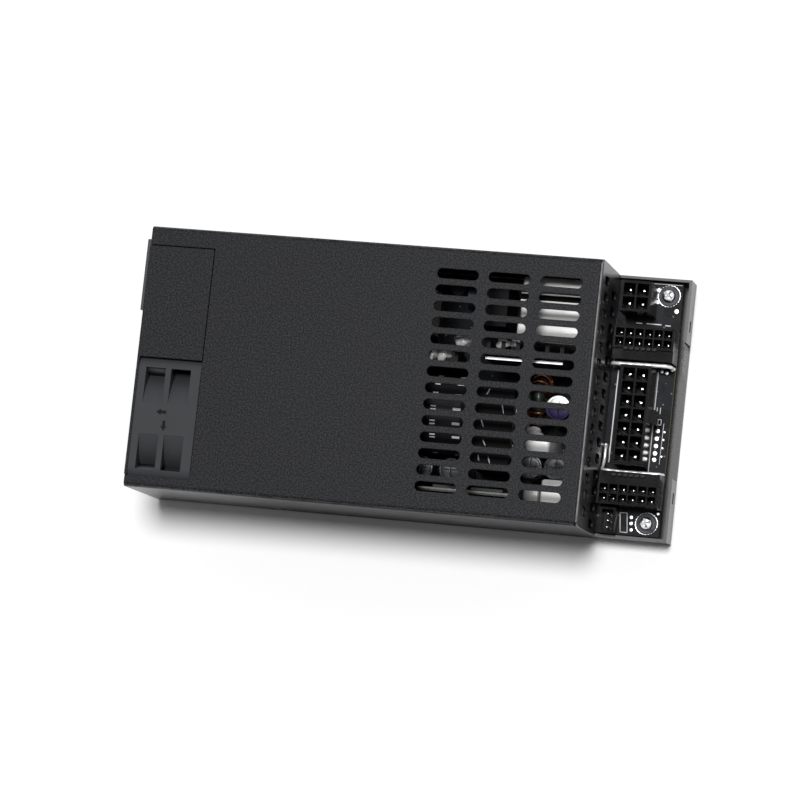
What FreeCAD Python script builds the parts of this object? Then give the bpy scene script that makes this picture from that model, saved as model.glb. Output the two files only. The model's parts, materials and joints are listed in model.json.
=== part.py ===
"""Compact 1U power supply in a folded steel case, with plug-in output headers.

The frame: +X runs from the rear panel to the header shelf, +Z is up, and the origin is
the centre of the bounding box at floor level. Lengths are millimetres.
"""
import FreeCAD, Part
import Sketcher
import math
import os
import re

Vector = FreeCAD.Vector
Rotation = FreeCAD.Rotation

ALONG_X = Rotation(Vector(0, 1, 0), 90)
ALONG_Y = Rotation(Vector(1, 0, 0), -90)
AGAINST_Y = Rotation(Vector(1, 0, 0), 90)
ALONG_Z = Rotation()

# Driving dimensions, one spreadsheet row each: alias, value, what it is
SIZES = [
    ("total_length", 165.3, "rear panel to the outside of the shelf's end wall"),
    ("shelf_length", 22.6, "header shelf beyond the step wall"),
    ("case_width", 81.5, "width over the side walls"),
    ("fan_margin", 0.25, "case height beyond the fan, above and below"),
    ("sheet", 0.8, "steel sheet thickness"),
    ("lap_gap", 0.15, "clearance between lapped sheets"),
    ("bend_radius", 1.4, "outside radius of the cover's bends"),
    ("relief_radius", 0.7, "corner relief holes where three bends meet"),
    ("rim_height", 9.5, "height of the shelf's low walls"),
    ("cover_setback", 0.2, "cover's rear edge in front of the rear panel's face"),
    ("cover_lift", 0.4, "cover's side walls end this far above the floor"),
    ("side_flange_height", 8.0, "base flanges that the cover screws into"),
    ("strip_high", 5.85, "solid strip of cover beside the rear flap"),
    ("flap_slit", 0.3, "slit between the flap and the cover"),
    ("flap_seam", 0.25, "seam at the flap's front edge"),
    ("flap_overhang", 1.0, "flap's low edge inside the fan window's line"),
    ("end_notch_half", 21.2, "half width of the gap in the end wall"),
    ("end_notch_sill", 1.1, "height of the end wall in that gap"),
    ("end_slot_offset", 26.8, "end wall slots off the centre line"),
    ("end_slot_width", 3.4, "end wall slot, along Y"),
    ("end_slot_height", 2.2, "end wall slot, along Z"),
    ("vent_columns", 3, "columns of vent slots in the lid"),
    ("vent_rows", 14, "rows of vent slots in the lid"),
    ("vent_length", 13.0, "vent slot length"),
    ("vent_width", 3.1, "vent slot width"),
    ("vent_pitch_along", 16.11, "column pitch"),
    ("vent_pitch_across", 5.04, "row pitch"),
    ("vent_inset", 12.28, "step wall to the centre of the nearest vent column"),
    ("vent_shift", 0.1, "vent field's centre towards -Y"),
    ("step_slot_count", 15, "vertical slots in each row of the step wall"),
    ("step_slot_width", 3.0, "step wall slot width"),
    ("step_slot_height", 7.6, "step wall slot height"),
    ("step_slot_pitch", 5.04, "step wall slot pitch"),
    ("step_row_upper", 9.6, "upper slot row's centre below the lid's top"),
    ("step_row_lower", 23.2, "lower slot row's centre below the lid's top"),
    ("step_stagger", 2.52, "lower row's offset along Y"),
    ("side_screw_near", 21.5, "cover screws in front of the fan window"),
    ("side_screw_far", 14.0, "cover screws behind the step wall"),
    ("side_screw_height", 4.6, "cover screws above the floor"),
    ("side_screw_radius", 1.45, "cover screw shank"),
    ("side_screw_head", 2.7, "cover screw head radius"),
    ("side_screw_length", 3.0, "cover screw length"),
    ("recess_length", 2.4, "cross recess, end to end"),
    ("recess_width", 0.6, "cross recess bar"),
    ("recess_depth", 0.5, "cross recess depth"),
    ("screw_play", 0.08, "radial clearance round a screw"),
    ("mount_hole_radius", 1.75, "threaded mounting hole"),
    ("mount_collar_radius", 2.9, "pressed collar round it"),
    ("mount_collar_length", 2.4, "length of thread"),
    ("mount_pitch", 28.5, "distance between the two mounting holes"),
    ("mount_gap", 7.2, "mounting holes beside the fan"),
    ("grille_hole_radius", 1.65, "punched hole in the fan grille"),
    ("grille_pitch", 4.1, "hole pitch in the fan grille"),
    ("grille_radius", 17.6, "outline of the fan grille"),
    ("fan_size", 40.0, "fan frame side"),
    ("fan_depth", 20.0, "fan frame depth"),
    ("fan_side_gap", 0.75, "fan to the case's side wall"),
    ("fan_end_gap", 0.2, "fan to the end of its window"),
    ("fan_window_gap", 0.72, "fan corner to the window's edge"),
    ("fan_corner", 5.0, "corner radius of the fan frame"),
    ("fan_bore", 18.9, "radius of the air duct"),
    ("fan_tube", 20.56, "outer radius of the duct's wall"),
    ("fan_rear_flange", 2.4, "flange at the rear panel"),
    ("fan_front_flange", 3.2, "flange at the inside"),
    ("fan_web", 1.8, "web between the side pockets"),
    ("fan_pocket_start", 4.9, "side pockets begin off the middle"),
    ("fan_corner_bar", 2.2, "bar that closes the side pockets at the corner"),
    ("fan_corner_solid", 4.2, "solid corner of the fan frame"),
    ("fan_hole_pitch", 32.0, "fan mounting holes"),
    ("fan_hole_radius", 2.15, "fan mounting hole radius"),
    ("fan_screw_radius", 2.05, "fan screw shank"),
    ("fan_screw_head", 3.3, "fan screw head radius"),
    ("fan_screw_length", 9.0, "fan screw length"),
    ("motor_base_radius", 10.6, "fan motor base"),
    ("motor_base_depth", 1.8, "fan motor base thickness"),
    ("fan_strut_width", 2.0, "struts that carry the motor base"),
    ("fan_strut_root", 0.4, "struts run this far into the duct's wall"),
    ("bearing_tube_radius", 3.2, "bearing tube outside"),
    ("bearing_radius", 2.4, "bearing outside"),
    ("bearing_length", 2.6, "bearing length"),
    ("bearing_floor", 1.0, "motor base below the bearing tube's bore"),
    ("bearing_seat", 0.6, "rear bearing above that floor"),
    ("bearing_tube_reach", 1.0, "bearing tube beyond the stator"),
    ("shaft_radius", 1.0, "fan shaft"),
    ("shaft_play", 0.03, "shaft in its bearings, on the radius"),
    ("shaft_end_gap", 0.3, "shaft above the bore's floor"),
    ("motor_board_depth", 0.9, "fan motor's circuit board"),
    ("stator_lift", 1.2, "stator stack above its board"),
    ("stator_length", 7.0, "stator stack"),
    ("stator_radius", 8.4, "stator outside"),
    ("stator_yoke", 1.4, "stator yoke's wall"),
    ("stator_rim", 1.2, "stator rim's wall"),
    ("stator_limb", 1.8, "stator limb width"),
    ("stator_spacer", 1.2, "wall of the spacer under the stator"),
    ("magnet_radius", 10.05, "magnet ring outside"),
    ("magnet_wall", 1.0, "magnet ring thickness"),
    ("magnet_reach", 0.5, "magnet ring beyond the stator, each end"),
    ("hub_radius", 11.2, "rotor hub outside"),
    ("hub_wall", 1.1, "rotor hub wall"),
    ("hub_boss", 2.0, "boss inside the hub"),
    ("rotor_gap_rear", 1.4, "rotor clear of the motor base"),
    ("rotor_gap_front", 1.6, "rotor behind the fan's inner face"),
    ("blade_count", 7, "fan blades"),
    ("blade_tip_gap", 0.6, "blade tip to the duct"),
    ("blade_margin", 0.5, "blades shorter than the hub, each end"),
    ("blade_thickness", 1.2, "blade thickness"),
    ("blade_pitch", 38, "blade angle to the fan's axis, degrees"),
    ("inlet_inset", 14.75, "inlet's centre to the outside of the side wall"),
    ("inlet_flange_width", 22.3, "inlet flange along Y"),
    ("inlet_flange_height", 30.7, "inlet flange along Z"),
    ("inlet_flange", 2.3, "inlet flange thickness"),
    ("inlet_body_width", 19.6, "inlet body along Y"),
    ("inlet_body_height", 27.0, "inlet body along Z"),
    ("inlet_body_depth", 17.0, "inlet body behind the flange"),
    ("inlet_panel_gap", 0.2, "inlet body to its cut-out"),
    ("inlet_cavity_width", 16.6, "socket along Y"),
    ("inlet_cavity_height", 24.2, "socket along Z"),
    ("inlet_cavity_depth", 16.0, "socket depth"),
    ("inlet_key_radius", 4.0, "socket's two keyed corners"),
    ("inlet_pin_spacing", 14.0, "line pin to neutral pin"),
    ("inlet_earth_offset", 4.0, "earth pin out of their line"),
    ("inlet_pin_width", 4.0, "pin width"),
    ("inlet_pin_thickness", 2.0, "pin thickness"),
    ("inlet_pin_setback", 1.0, "pins behind the rear panel"),
    ("inlet_tab_length", 6.0, "solder tab behind the body"),
    ("inlet_tab_thickness", 0.8, "solder tab thickness"),
    ("wire_radius", 1.1, "insulated inlet wire"),
    ("wire_reach", 9.5, "inlet wire's run before it turns down"),
    ("wire_rise", 4.0, "inlet wire's upright end"),
    ("wire_shift", 6.0, "earth wire's foot off its tab"),
    ("wire_pitch", 1.32, "inlet wires' feet, apart"),
    ("board_thickness", 1.6, "circuit boards"),
    ("standoff_height", 3.2, "under the main board"),
    ("standoff_radius", 2.6, "board standoffs"),
    ("standoff_bore", 1.3, "threaded hole in a standoff"),
    ("standoff_floor", 0.6, "standoff below its threaded hole"),
    ("board_screw_end", 4.5, "board screws to the main board's ends"),
    ("board_screw_side", 4.0, "board screws to the main board's sides"),
    ("board_screw_middle", 67.7, "middle board screw at +Y, from the board's rear edge"),
    ("board_screw_inner", 23.5, "board screw beside the standby transformer"),
    ("board_screw_lower", 56.2, "middle board screw at -Y, from the board's rear edge"),
    ("board_screw_front", 12.1, "front board screw at -Y, behind the board's front edge"),
    ("board_screw_radius", 1.25, "board screw shank"),
    ("board_screw_head", 2.6, "board screw head radius"),
    ("board_screw_head_height", 1.8, "board screw head height"),
    ("board_screw_grip", 1.8, "screw thread below the main board"),
    ("shelf_screw_grip", 3.0, "screw thread below the output board"),
    ("board_recess_length", 2.6, "cross recess of the shelf screws"),
    ("board_recess_width", 0.8, "cross recess bar of the shelf screws"),
    ("board_hole_radius", 1.6, "screw hole in a board"),
    ("main_board_start", 3.0, "main board in front of the fan"),
    ("main_board_end", 5.9, "main board's end behind the step wall"),
    ("main_board_side", 1.6, "main board to the base's side flange"),
    ("insulation_thickness", 0.3, "insulating sheet on the floor"),
    ("insulation_margin", 1.2, "insulating sheet wider than the main board"),
    ("insulation_gap", 0.3, "insulating sheet round a standoff"),
    ("output_board_height", 5.2, "output board above the floor"),
    ("output_board_back", 2.6, "output board's reach behind the step wall"),
    ("output_board_gap", 2.0, "output board to the end wall"),
    ("output_board_side", 0.5, "output board to the shelf's side walls"),
    ("shelf_screw_inset", 7.0, "shelf screws behind the outside of the end wall"),
    ("shelf_screw_offset", 35.5, "shelf screws off the centre line"),
    ("washer_radius", 3.2, "washer under a shelf screw"),
    ("washer_thickness", 0.5, "washer thickness"),
    ("power_pitch", 4.2, "circuit pitch of the power headers"),
    ("power_cell", 3.6, "circuit cavity of a power header"),
    ("power_rim", 0.6, "end wall of a power header beyond its pitch"),
    ("power_height", 12.8, "power header height"),
    ("power_floor", 2.0, "power header floor"),
    ("power_pin", 1.07, "power header pin, square"),
    ("power_pin_height", 10.2, "power pin tip above the board"),
    ("signal_pitch", 3.0, "circuit pitch of the accessory headers"),
    ("signal_cell", 2.5, "circuit cavity of an accessory header"),
    ("signal_rim", 0.45, "end wall of an accessory header beyond its pitch"),
    ("signal_height", 9.9, "accessory header height"),
    ("signal_floor", 2.0, "accessory header floor"),
    ("signal_pin", 0.64, "accessory header pin, square"),
    ("signal_pin_height", 7.6, "accessory pin tip above the board"),
    ("latch_ledge_width", 3.4, "latch ledge of an accessory header"),
    ("latch_ledge_drop", 0.9, "latch ledge below the header's top"),
    ("main_latch_width", 2.4, "latch ledge of a power header"),
    ("monitor_pitch", 2.0, "pin pitch of the monitor header"),
    ("monitor_pins", 3, "pins of the monitor header"),
    ("monitor_rim", 1.95, "monitor header beyond its end pins"),
    ("monitor_depth", 5.0, "monitor header along X"),
    ("monitor_wall", 0.7, "monitor header wall"),
    ("monitor_height", 6.0, "monitor header height"),
    ("monitor_pin", 0.5, "monitor header pin, square"),
    ("monitor_pin_height", 4.6, "monitor pin tip above the board"),
    ("cpu_pin_x", 5.2, "first pin of the four-way header, from the step wall"),
    ("cpu_pin_y", 35.1, "first pin of the four-way header, off the centre"),
    ("upper_pin_x", 3.1, "first pin of the upper twelve-way header"),
    ("upper_pin_y", 22.1, "first pin of the upper twelve-way header"),
    ("main_pin_x", 7.6, "first pin of the fourteen-way header"),
    ("main_pin_y", 9.0, "first pin of the fourteen-way header"),
    ("lower_pin_x", 2.9, "first pin of the lower twelve-way header"),
    ("lower_pin_y", -26.3, "first pin of the lower twelve-way header"),
    ("monitor_pin_x", 4.2, "first pin of the monitor header"),
    ("monitor_pin_y", -33.8, "first pin of the monitor header"),
    ("layout_width", 81.5, "case width that the vents and headers are drawn for"),
    ("layout_shelf", 22.6, "shelf length that the headers are drawn for"),
    ("layout_fan", 40.0, "fan size that the fan and the heights are drawn for"),
    ("layout_rear", 39.15, "room beside the fan that the inlet is drawn for"),
    ("layout_board_length", 113.0, "main board length that the circuit is drawn for"),
    ("layout_board_width", 74.8, "main board width that the circuit is drawn for"),
    ("layout_room", 34.1, "room above the main board that the circuit is drawn for"),
    ("bulk_radius", 12.5, "bulk capacitor"),
    ("bulk_length", 46.0, "bulk capacitor"),
    ("bulk_start", 34.4, "bulk capacitor, from the board's rear edge"),
    ("bulk_y", -8.2, "bulk capacitor's axis"),
    ("bulk_crimp", 0.6, "depth of the crimp groove"),
    ("boost_x", 49.2, "boost choke, from the board's rear edge"),
    ("boost_y", 23.5, "boost choke"),
    ("boost_length", 24.0, "boost choke core along X"),
    ("boost_width", 22.0, "boost choke core along Y"),
    ("boost_height", 24.0, "boost choke core height"),
    ("transformer_x", 88.4, "main transformer"),
    ("transformer_y", -12.5, "main transformer"),
    ("transformer_length", 12.0, "main transformer core along X"),
    ("transformer_width", 25.0, "main transformer core along Y"),
    ("transformer_height", 26.0, "main transformer core height"),
    ("core_limb", 4.0, "transformer core limb"),
    ("standby_limb", 1.8, "standby transformer core limb"),
    ("boost_wrap", 2.5, "boost choke winding beyond its core"),
    ("transformer_wrap", 1.3, "main transformer winding beyond its core"),
    ("standby_wrap", 4.9, "standby transformer winding beyond its core"),
    ("winding_gap", 0.3, "winding clear of the core"),
    ("bobbin_wall", 1.2, "bobbin flange"),
    ("standby_x", 102.8, "standby transformer"),
    ("standby_y", 28.5, "standby transformer"),
    ("standby_length", 19.2, "standby transformer core along X"),
    ("standby_width", 3.6, "standby transformer core along Y"),
    ("standby_height", 26.5, "standby transformer core height"),
    ("choke_seat", 0.3, "ring chokes above the main board"),
    ("toroid_x", 99.2, "output choke"),
    ("toroid_y", -0.6, "output choke"),
    ("toroid_ring", 5.2, "output choke: ring centre radius"),
    ("toroid_core", 2.2, "output choke: core section radius"),
    ("toroid_wire", 0.45, "output choke: wire radius"),
    ("turn_gap", 0.15, "turns of wire round their core"),
    ("toroid_turns", 14, "output choke: turns"),
    ("line_choke_x", 18.2, "line choke"),
    ("line_choke_y", 25.0, "line choke"),
    ("line_choke_ring", 7.6, "line choke: ring centre radius"),
    ("line_choke_core", 3.0, "line choke: core section radius"),
    ("line_choke_wire", 0.55, "line choke: wire radius"),
    ("line_choke_turns", 8, "line choke: turns in each winding"),
    ("line_choke_start", 28, "first turn off the core's top, degrees"),
    ("line_choke_span", 124, "arc that a winding fills, degrees"),
    ("film_length", 9.0, "interference capacitor along X"),
    ("film_width", 18.0, "interference capacitor along Y"),
    ("film_height", 16.0, "interference capacitor height"),
    ("rear_film_x", 15.2, "interference capacitor by the inlet"),
    ("rear_film_y", -2.0, "interference capacitor by the inlet"),
    ("side_film_x", 29.2, "interference capacitor by the line choke"),
    ("side_film_y", 27.0, "interference capacitor by the line choke"),
    ("output_film_length", 7.8, "output film capacitor along X"),
    ("output_film_width", 5.8, "output film capacitor along Y"),
    ("output_film_height", 22.4, "output film capacitor height"),
    ("wide_film_length", 20.6, "output film capacitor by the standby transformer, along X"),
    ("wide_film_x", 102.1, "output film capacitor by the standby transformer"),
    ("wide_film_y", 18.4, "output film capacitor by the standby transformer"),
    ("inner_film_x", 101.75, "output film capacitor by the main transformer"),
    ("inner_film_y", -15.75, "output film capacitor by the main transformer"),
    ("outer_film_x", 108.4, "output film capacitor by the case wall"),
    ("outer_film_y", -31.1, "output film capacitor by the case wall"),
    ("outer_film_width", 7.0, "output film capacitor by the case wall, along Y"),
    ("disc_radius", 4.0, "disc capacitor"),
    ("disc_thickness", 3.0, "disc capacitor"),
    ("disc_lift", 1.5, "disc capacitor above the board"),
    ("disc_leg", 0.7, "disc capacitor leg, square"),
    ("disc_leg_offset", 2.5, "disc capacitor legs off its middle"),
    ("rear_disc_x", 6.7, "disc capacitors by the fan"),
    ("first_disc_y", -16.0, "first disc capacitor by the fan"),
    ("second_disc_y", -26.0, "second disc capacitor by the fan"),
    ("third_disc_x", 74.2, "disc capacitor by the boost choke"),
    ("third_disc_y", 30.0, "disc capacitor by the boost choke"),
    ("fuse_radius", 2.6, "fuse tube"),
    ("fuse_length", 20.0, "fuse tube"),
    ("fuse_cap_length", 5.0, "fuse end cap"),
    ("fuse_cap_wall", 0.3, "fuse end cap wall"),
    ("fuse_x", 12.2, "fuse, from the board's rear edge"),
    ("fuse_y", -30.4, "fuse"),
    ("fuse_lift", 0.5, "fuse above the board"),
    ("fuse_leg", 2.0, "fuse clip's foot"),
    ("bridge_length", 20.0, "bridge rectifier along X"),
    ("bridge_thickness", 3.6, "bridge rectifier thickness"),
    ("bridge_height", 15.0, "bridge rectifier height"),
    ("bridge_margin", 0.5, "bridge rectifier to the heatsink's end"),
    ("heatsink_thickness", 1.2, "heatsink plate"),
    ("primary_sink_y", 6.8, "primary heatsink plate"),
    ("primary_sink_start", 26.2, "primary heatsink, from the board's rear edge"),
    ("primary_sink_length", 50.0, "primary heatsink length"),
    ("secondary_sink_y", 9.2, "secondary heatsink plate"),
    ("secondary_sink_start", 84.7, "secondary heatsink, from the board's rear edge"),
    ("secondary_sink_length", 24.0, "secondary heatsink length"),
    ("lid_clearance", 3.6, "tallest parts below the lid"),
    ("fin_length", 4.6, "heatsink fins along Y"),
    ("fin_thickness", 1.2, "heatsink fin thickness"),
    ("fin_count", 6, "fins on a heatsink"),
    ("device_width", 10.2, "power transistor width"),
    ("device_thickness", 4.4, "power transistor thickness"),
    ("device_height", 15.0, "power transistor height"),
    ("device_foot", 4.0, "power transistor above the board"),
    ("device_lead", 0.8, "power transistor lead, square"),
    ("device_lead_pitch", 2.54, "power transistor lead pitch"),
    ("rectifier_near", 5.5, "first rectifier along its heatsink"),
    ("rectifier_far", 17.0, "second rectifier along its heatsink"),
    ("transistor_near", 29.0, "first transistor along its heatsink"),
    ("transistor_far", 42.0, "second transistor along its heatsink"),
    ("output_cap_radius", 3.9, "output capacitors"),
    ("output_cap_height", 22.4, "output capacitors"),
    ("groove_offset", 0.25, "sleeve groove's centre outside the can"),
    ("groove_radius", 0.5, "sleeve groove"),
    ("groove_height", 2.2, "sleeve groove above the board"),
    ("first_can_x", 108.2, "output capacitor nearest the step wall"),
    ("first_can_y", -23.2, "output capacitor nearest the step wall"),
    ("second_can_x", 100.2, "second output capacitor"),
    ("second_can_y", -23.2, "second output capacitor"),
    ("third_can_x", 75.7, "third output capacitor"),
    ("third_can_y", -26.0, "third output capacitor"),
    ("fourth_can_x", 66.5, "fourth output capacitor"),
    ("fourth_can_y", -26.0, "fourth output capacitor"),
    ("polymer_cap_radius", 4.0, "polymer capacitor by the output choke"),
    ("polymer_cap_height", 20.4, "polymer capacitor by the output choke"),
    ("polymer_cap_x", 106.7, "polymer capacitor"),
    ("polymer_cap_y", -4.1, "polymer capacitor"),
    ("relay_length", 10.0, "inrush relay along X"),
    ("relay_width", 12.0, "inrush relay along Y"),
    ("relay_height", 17.0, "inrush relay height"),
    ("relay_x", 82.2, "inrush relay"),
    ("relay_y", 26.0, "inrush relay"),
    ("card_thickness", 1.2, "controller card"),
    ("card_length", 30.0, "controller card along X"),
    ("card_height", 24.4, "controller card height"),
    ("card_x", 66.6, "controller card, from the board's rear edge"),
    ("card_y", -32.4, "controller card"),
    ("chip_length", 10.0, "controller chip"),
    ("chip_height", 5.0, "controller chip"),
    ("chip_thickness", 1.7, "controller chip"),
    ("bus_count", 4, "bus bars between the boards"),
    ("bus_leg", 1.6, "bus bar leg along X"),
    ("bus_thickness", 1.2, "bus bar thickness"),
    ("bus_height", 6.0, "bus bar depth"),
    ("bus_lift", 3.0, "bus bars above the output board"),
    ("bus_pitch", 11.0, "bus bar pitch"),
    ("bus_shift", 2.5, "bus bars off the centre line"),
    ("bus_gap", 0.4, "bus bars behind the step wall"),
    ("fan_plug_length", 7.5, "fan plug and socket"),
    ("fan_plug_width", 5.0, "fan plug and socket"),
    ("fan_plug_height", 6.0, "fan plug and socket"),
    ("fan_plug_inset", 2.0, "fan plug on the main board's rear edge"),
    ("fan_wire_radius", 0.6, "fan lead wire"),
    ("fan_wire_pitch", 2.0, "fan lead wires, apart"),
    ("fan_wire_height", 9.0, "fan lead's height above the floor"),
]

# Sizes that follow from the driving ones, as expressions on their names
DERIVED = {
    "rear_x": "(inlet_flange - total_length) / 2",
    "front_x": "rear_x + total_length",
    "step_x": "front_x - shelf_length",
    "half_width": "case_width / 2",
    "inner_half": "half_width - sheet - lap_gap",
    "case_height": "fan_size + 2 * fan_margin",
    "lid_under": "case_height - sheet",
    "fan_rear": "rear_x + sheet",
    "fan_front": "fan_rear + fan_depth",
    "fan_y": "fan_side_gap + sheet + fan_size / 2 - half_width",
    "fan_z": "case_height / 2",
    "fan_step": "fan_corner - sheet + fan_margin",
    "fan_window_half": "fan_size / 2 - fan_corner + sqrt(fan_corner^2 - fan_step^2) + fan_window_gap",
    "window_low": "fan_y - fan_window_half",
    "window_high": "fan_y + fan_window_half",
    "notch_x": "fan_front + fan_end_gap",
    "notch_high": "half_width - strip_high",
    "flap_low": "window_high + flap_overhang",
    "flap_high": "notch_high - flap_slit",
    "board_z": "sheet + standoff_height",
    "board_top": "board_z + board_thickness",
    "output_z": "sheet + output_board_height",
    "output_top": "output_z + board_thickness",
    "main_start": "fan_front + main_board_start",
    "main_end": "step_x - main_board_end",
    "main_half": "inner_half - sheet - main_board_side",
    "step_bottom": "output_top + sheet",
    "tall_top": "lid_under - lid_clearance",
    "inlet_back": "rear_x + inlet_body_depth",
    "inlet_tab_end": "inlet_back + inlet_tab_length",
    "motor_base_end": "fan_rear + motor_base_depth",
    "rotor_rear": "motor_base_end + rotor_gap_rear",
    "rotor_front": "fan_front - rotor_gap_front",
    "stator_start": "motor_base_end + motor_board_depth + stator_lift",
    "bearing_tube_end": "stator_start + stator_length + bearing_tube_reach",
    "blade_radius": "fan_bore - blade_tip_gap",
    "transformer_seat": "board_top + bobbin_wall",
    "inlet_y": "half_width - inlet_inset",
    "mount_y": "fan_y + fan_size / 2 + mount_gap",
    "width_fit": "case_width / layout_width",
    "shelf_fit": "shelf_length / layout_shelf",
    "header_fit": "min(width_fit; shelf_fit)",
    "fan_fit": "fan_size / layout_fan",
    "rear_fit": "(inner_half + lap_gap - fan_y - fan_size / 2) / layout_rear",
    "length_fit": "(main_end - main_start) / layout_board_length",
    "side_fit": "2 * main_half / layout_board_width",
    "height_fit": "(lid_under - board_top) / layout_room",
    "circuit_fit": "min(length_fit; side_fit; height_fit)",
}

# Sizes that stretch with the room they have: each is its value times the named share
FOLLOWS = {
    "width_fit": """vent_width vent_pitch_across vent_shift step_slot_width step_slot_pitch step_stagger
        end_notch_half end_slot_offset end_slot_width shelf_screw_offset cpu_pin_y upper_pin_y
        main_pin_y lower_pin_y monitor_pin_y bus_pitch bus_shift""",
    "shelf_fit": "cpu_pin_x upper_pin_x main_pin_x lower_pin_x monitor_pin_x shelf_screw_inset",
    "header_fit": """power_pitch power_cell power_rim power_pin signal_pitch signal_cell signal_rim
        signal_pin latch_ledge_width main_latch_width monitor_pitch monitor_rim monitor_depth
        monitor_pin""",
    "fan_fit": """fan_corner fan_bore fan_tube fan_pocket_start fan_corner_bar fan_corner_solid
        fan_hole_pitch fan_hole_radius fan_screw_radius fan_screw_head motor_base_radius
        fan_strut_width bearing_tube_radius bearing_radius shaft_radius stator_radius stator_yoke
        stator_rim stator_limb stator_spacer magnet_radius magnet_wall hub_radius hub_wall
        blade_tip_gap grille_hole_radius grille_pitch grille_radius mount_pitch
        inlet_flange_height inlet_body_height inlet_cavity_height inlet_pin_spacing
        step_slot_height step_row_upper step_row_lower lid_clearance""",
    "rear_fit": """inlet_inset inlet_flange_width inlet_body_width inlet_cavity_width
        inlet_key_radius inlet_earth_offset inlet_pin_width wire_shift wire_pitch
        mount_gap mount_hole_radius mount_collar_radius""",
    "length_fit": """board_screw_end board_screw_middle board_screw_inner board_screw_lower
        board_screw_front bulk_length bulk_start boost_x boost_length boost_wrap transformer_x
        transformer_length transformer_wrap standby_x standby_length toroid_x line_choke_x
        film_length rear_film_x side_film_x output_film_length wide_film_length wide_film_x inner_film_x
        outer_film_x disc_thickness rear_disc_x third_disc_x fuse_length fuse_cap_length fuse_x
        bridge_length bridge_margin primary_sink_start primary_sink_length secondary_sink_start
        secondary_sink_length fin_thickness device_width device_lead_pitch rectifier_near
        rectifier_far transistor_near transistor_far first_can_x second_can_x third_can_x
        fourth_can_x polymer_cap_x relay_length relay_x card_length card_x chip_length
        fan_plug_length fan_plug_inset""",
    "side_fit": """board_screw_side bulk_y boost_y boost_width transformer_y transformer_width
        standby_y standby_width standby_wrap toroid_y line_choke_y film_width rear_film_y
        side_film_y output_film_width wide_film_y inner_film_y outer_film_y outer_film_width
        first_disc_y second_disc_y third_disc_y fuse_y bridge_thickness heatsink_thickness
        primary_sink_y secondary_sink_y fin_length device_thickness first_can_y second_can_y
        third_can_y fourth_can_y polymer_cap_y relay_width relay_y card_thickness card_y
        chip_thickness fan_plug_width""",
    "height_fit": """boost_height transformer_height standby_height film_height
        output_film_height bridge_height device_height output_cap_height polymer_cap_height
        relay_height card_height chip_height""",
    "circuit_fit": """standoff_radius board_screw_head bulk_radius core_limb standby_limb
        toroid_ring toroid_core toroid_wire line_choke_ring line_choke_core line_choke_wire
        disc_radius disc_leg_offset fuse_radius output_cap_radius polymer_cap_radius
        standoff_bore board_screw_radius board_hole_radius washer_radius board_recess_length
        board_recess_width""",
}
SHARE = {alias: share for share, aliases in FOLLOWS.items() for alias in aliases.split()}

VALUES = {alias: value for alias, value, meaning in SIZES}
NAMES = set(VALUES) | set(DERIVED)
WORD = re.compile(r"[a-z][a-z_]*[a-z]")

doc = FreeCAD.newDocument("power_supply")
sub_parts = []


def make_sheet():
    """Fill the spreadsheet with the driving dimensions and those worked out from them."""
    table = doc.addObject("Spreadsheet::Sheet", "Sizes")
    rows = []
    for alias, value, meaning in SIZES:
        content = "=%s * %s" % (value, SHARE[alias]) if alias in SHARE else str(value)
        rows.append((alias, content, meaning))
    for alias, expression in DERIVED.items():
        rows.append((alias, "=" + expression, "worked out"))
    for row, (alias, content, meaning) in enumerate(rows, start=1):
        table.setAlias("B%d" % row, alias)
    for row, (alias, content, meaning) in enumerate(rows, start=1):
        table.set("A%d" % row, meaning)
        table.set("B%d" % row, content)
    doc.recompute()
    return table


sheet = make_sheet()


def bound(expression):
    """Write an expression on size names as one on the spreadsheet's cells."""

    def replace(match):
        word = match.group(0)
        return "Sizes." + word if word in NAMES else word

    return WORD.sub(replace, str(expression))


def size(expression):
    """Work out an expression on size names as a number."""
    return float(sheet.evalExpression(bound(expression)))


def count(alias):
    """Give a size that is a number of copies."""
    return int(round(size(alias)))


def place(thing, corner, turn=ALONG_Z):
    """Turn an object, then bind its position to three expressions."""
    thing.Placement = FreeCAD.Placement(Vector(), turn)
    for axis, expression in zip("xyz", corner):
        thing.setExpression("Placement.Base." + axis, bound(expression))
    return thing


def box(name, low, high):
    """Add a box between two corners, each given as three expressions."""
    thing = doc.addObject("Part::Box", name)
    for side, start, end in zip(("Length", "Width", "Height"), low, high):
        thing.setExpression(side, bound("(%s) - (%s)" % (end, start)))
    return place(thing, low)


def block(name, centre, base, lengths):
    """Add a box from its middle in X and Y, its underside and its three lengths."""
    low = ["(%s) - (%s) / 2" % (middle, length) for middle, length in zip(centre, lengths)]
    high = ["(%s) + (%s) / 2" % (middle, length) for middle, length in zip(centre, lengths)]
    return box(name, low + [base], high + ["(%s) + (%s)" % (base, lengths[2])])


def cylinder(name, radius, length, start, turn=ALONG_Z):
    """Add a cylinder that begins at a point and runs along the turned Z axis."""
    thing = doc.addObject("Part::Cylinder", name)
    thing.setExpression("Radius", bound(radius))
    thing.setExpression("Height", bound(length))
    return place(thing, start, turn)


def cone(name, radius_start, radius_end, length, start, turn=ALONG_Z):
    """Add a cone that begins at a point and runs along the turned Z axis."""
    thing = doc.addObject("Part::Cone", name)
    thing.setExpression("Radius1", bound(radius_start))
    thing.setExpression("Radius2", bound(radius_end))
    thing.setExpression("Height", bound(length))
    return place(thing, start, turn)


def ring(name, radius, section, centre, turn=ALONG_Z):
    """Add a torus from the radius of its centre line and of its section."""
    thing = doc.addObject("Part::Torus", name)
    thing.setExpression("Radius1", bound(radius))
    thing.setExpression("Radius2", bound(section))
    return place(thing, centre, turn)


def fuse(name, pieces):
    """Join pieces into one solid."""
    thing = doc.addObject("Part::MultiFuse", name)
    thing.Shapes = pieces
    thing.Refine = True
    return thing


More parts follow.
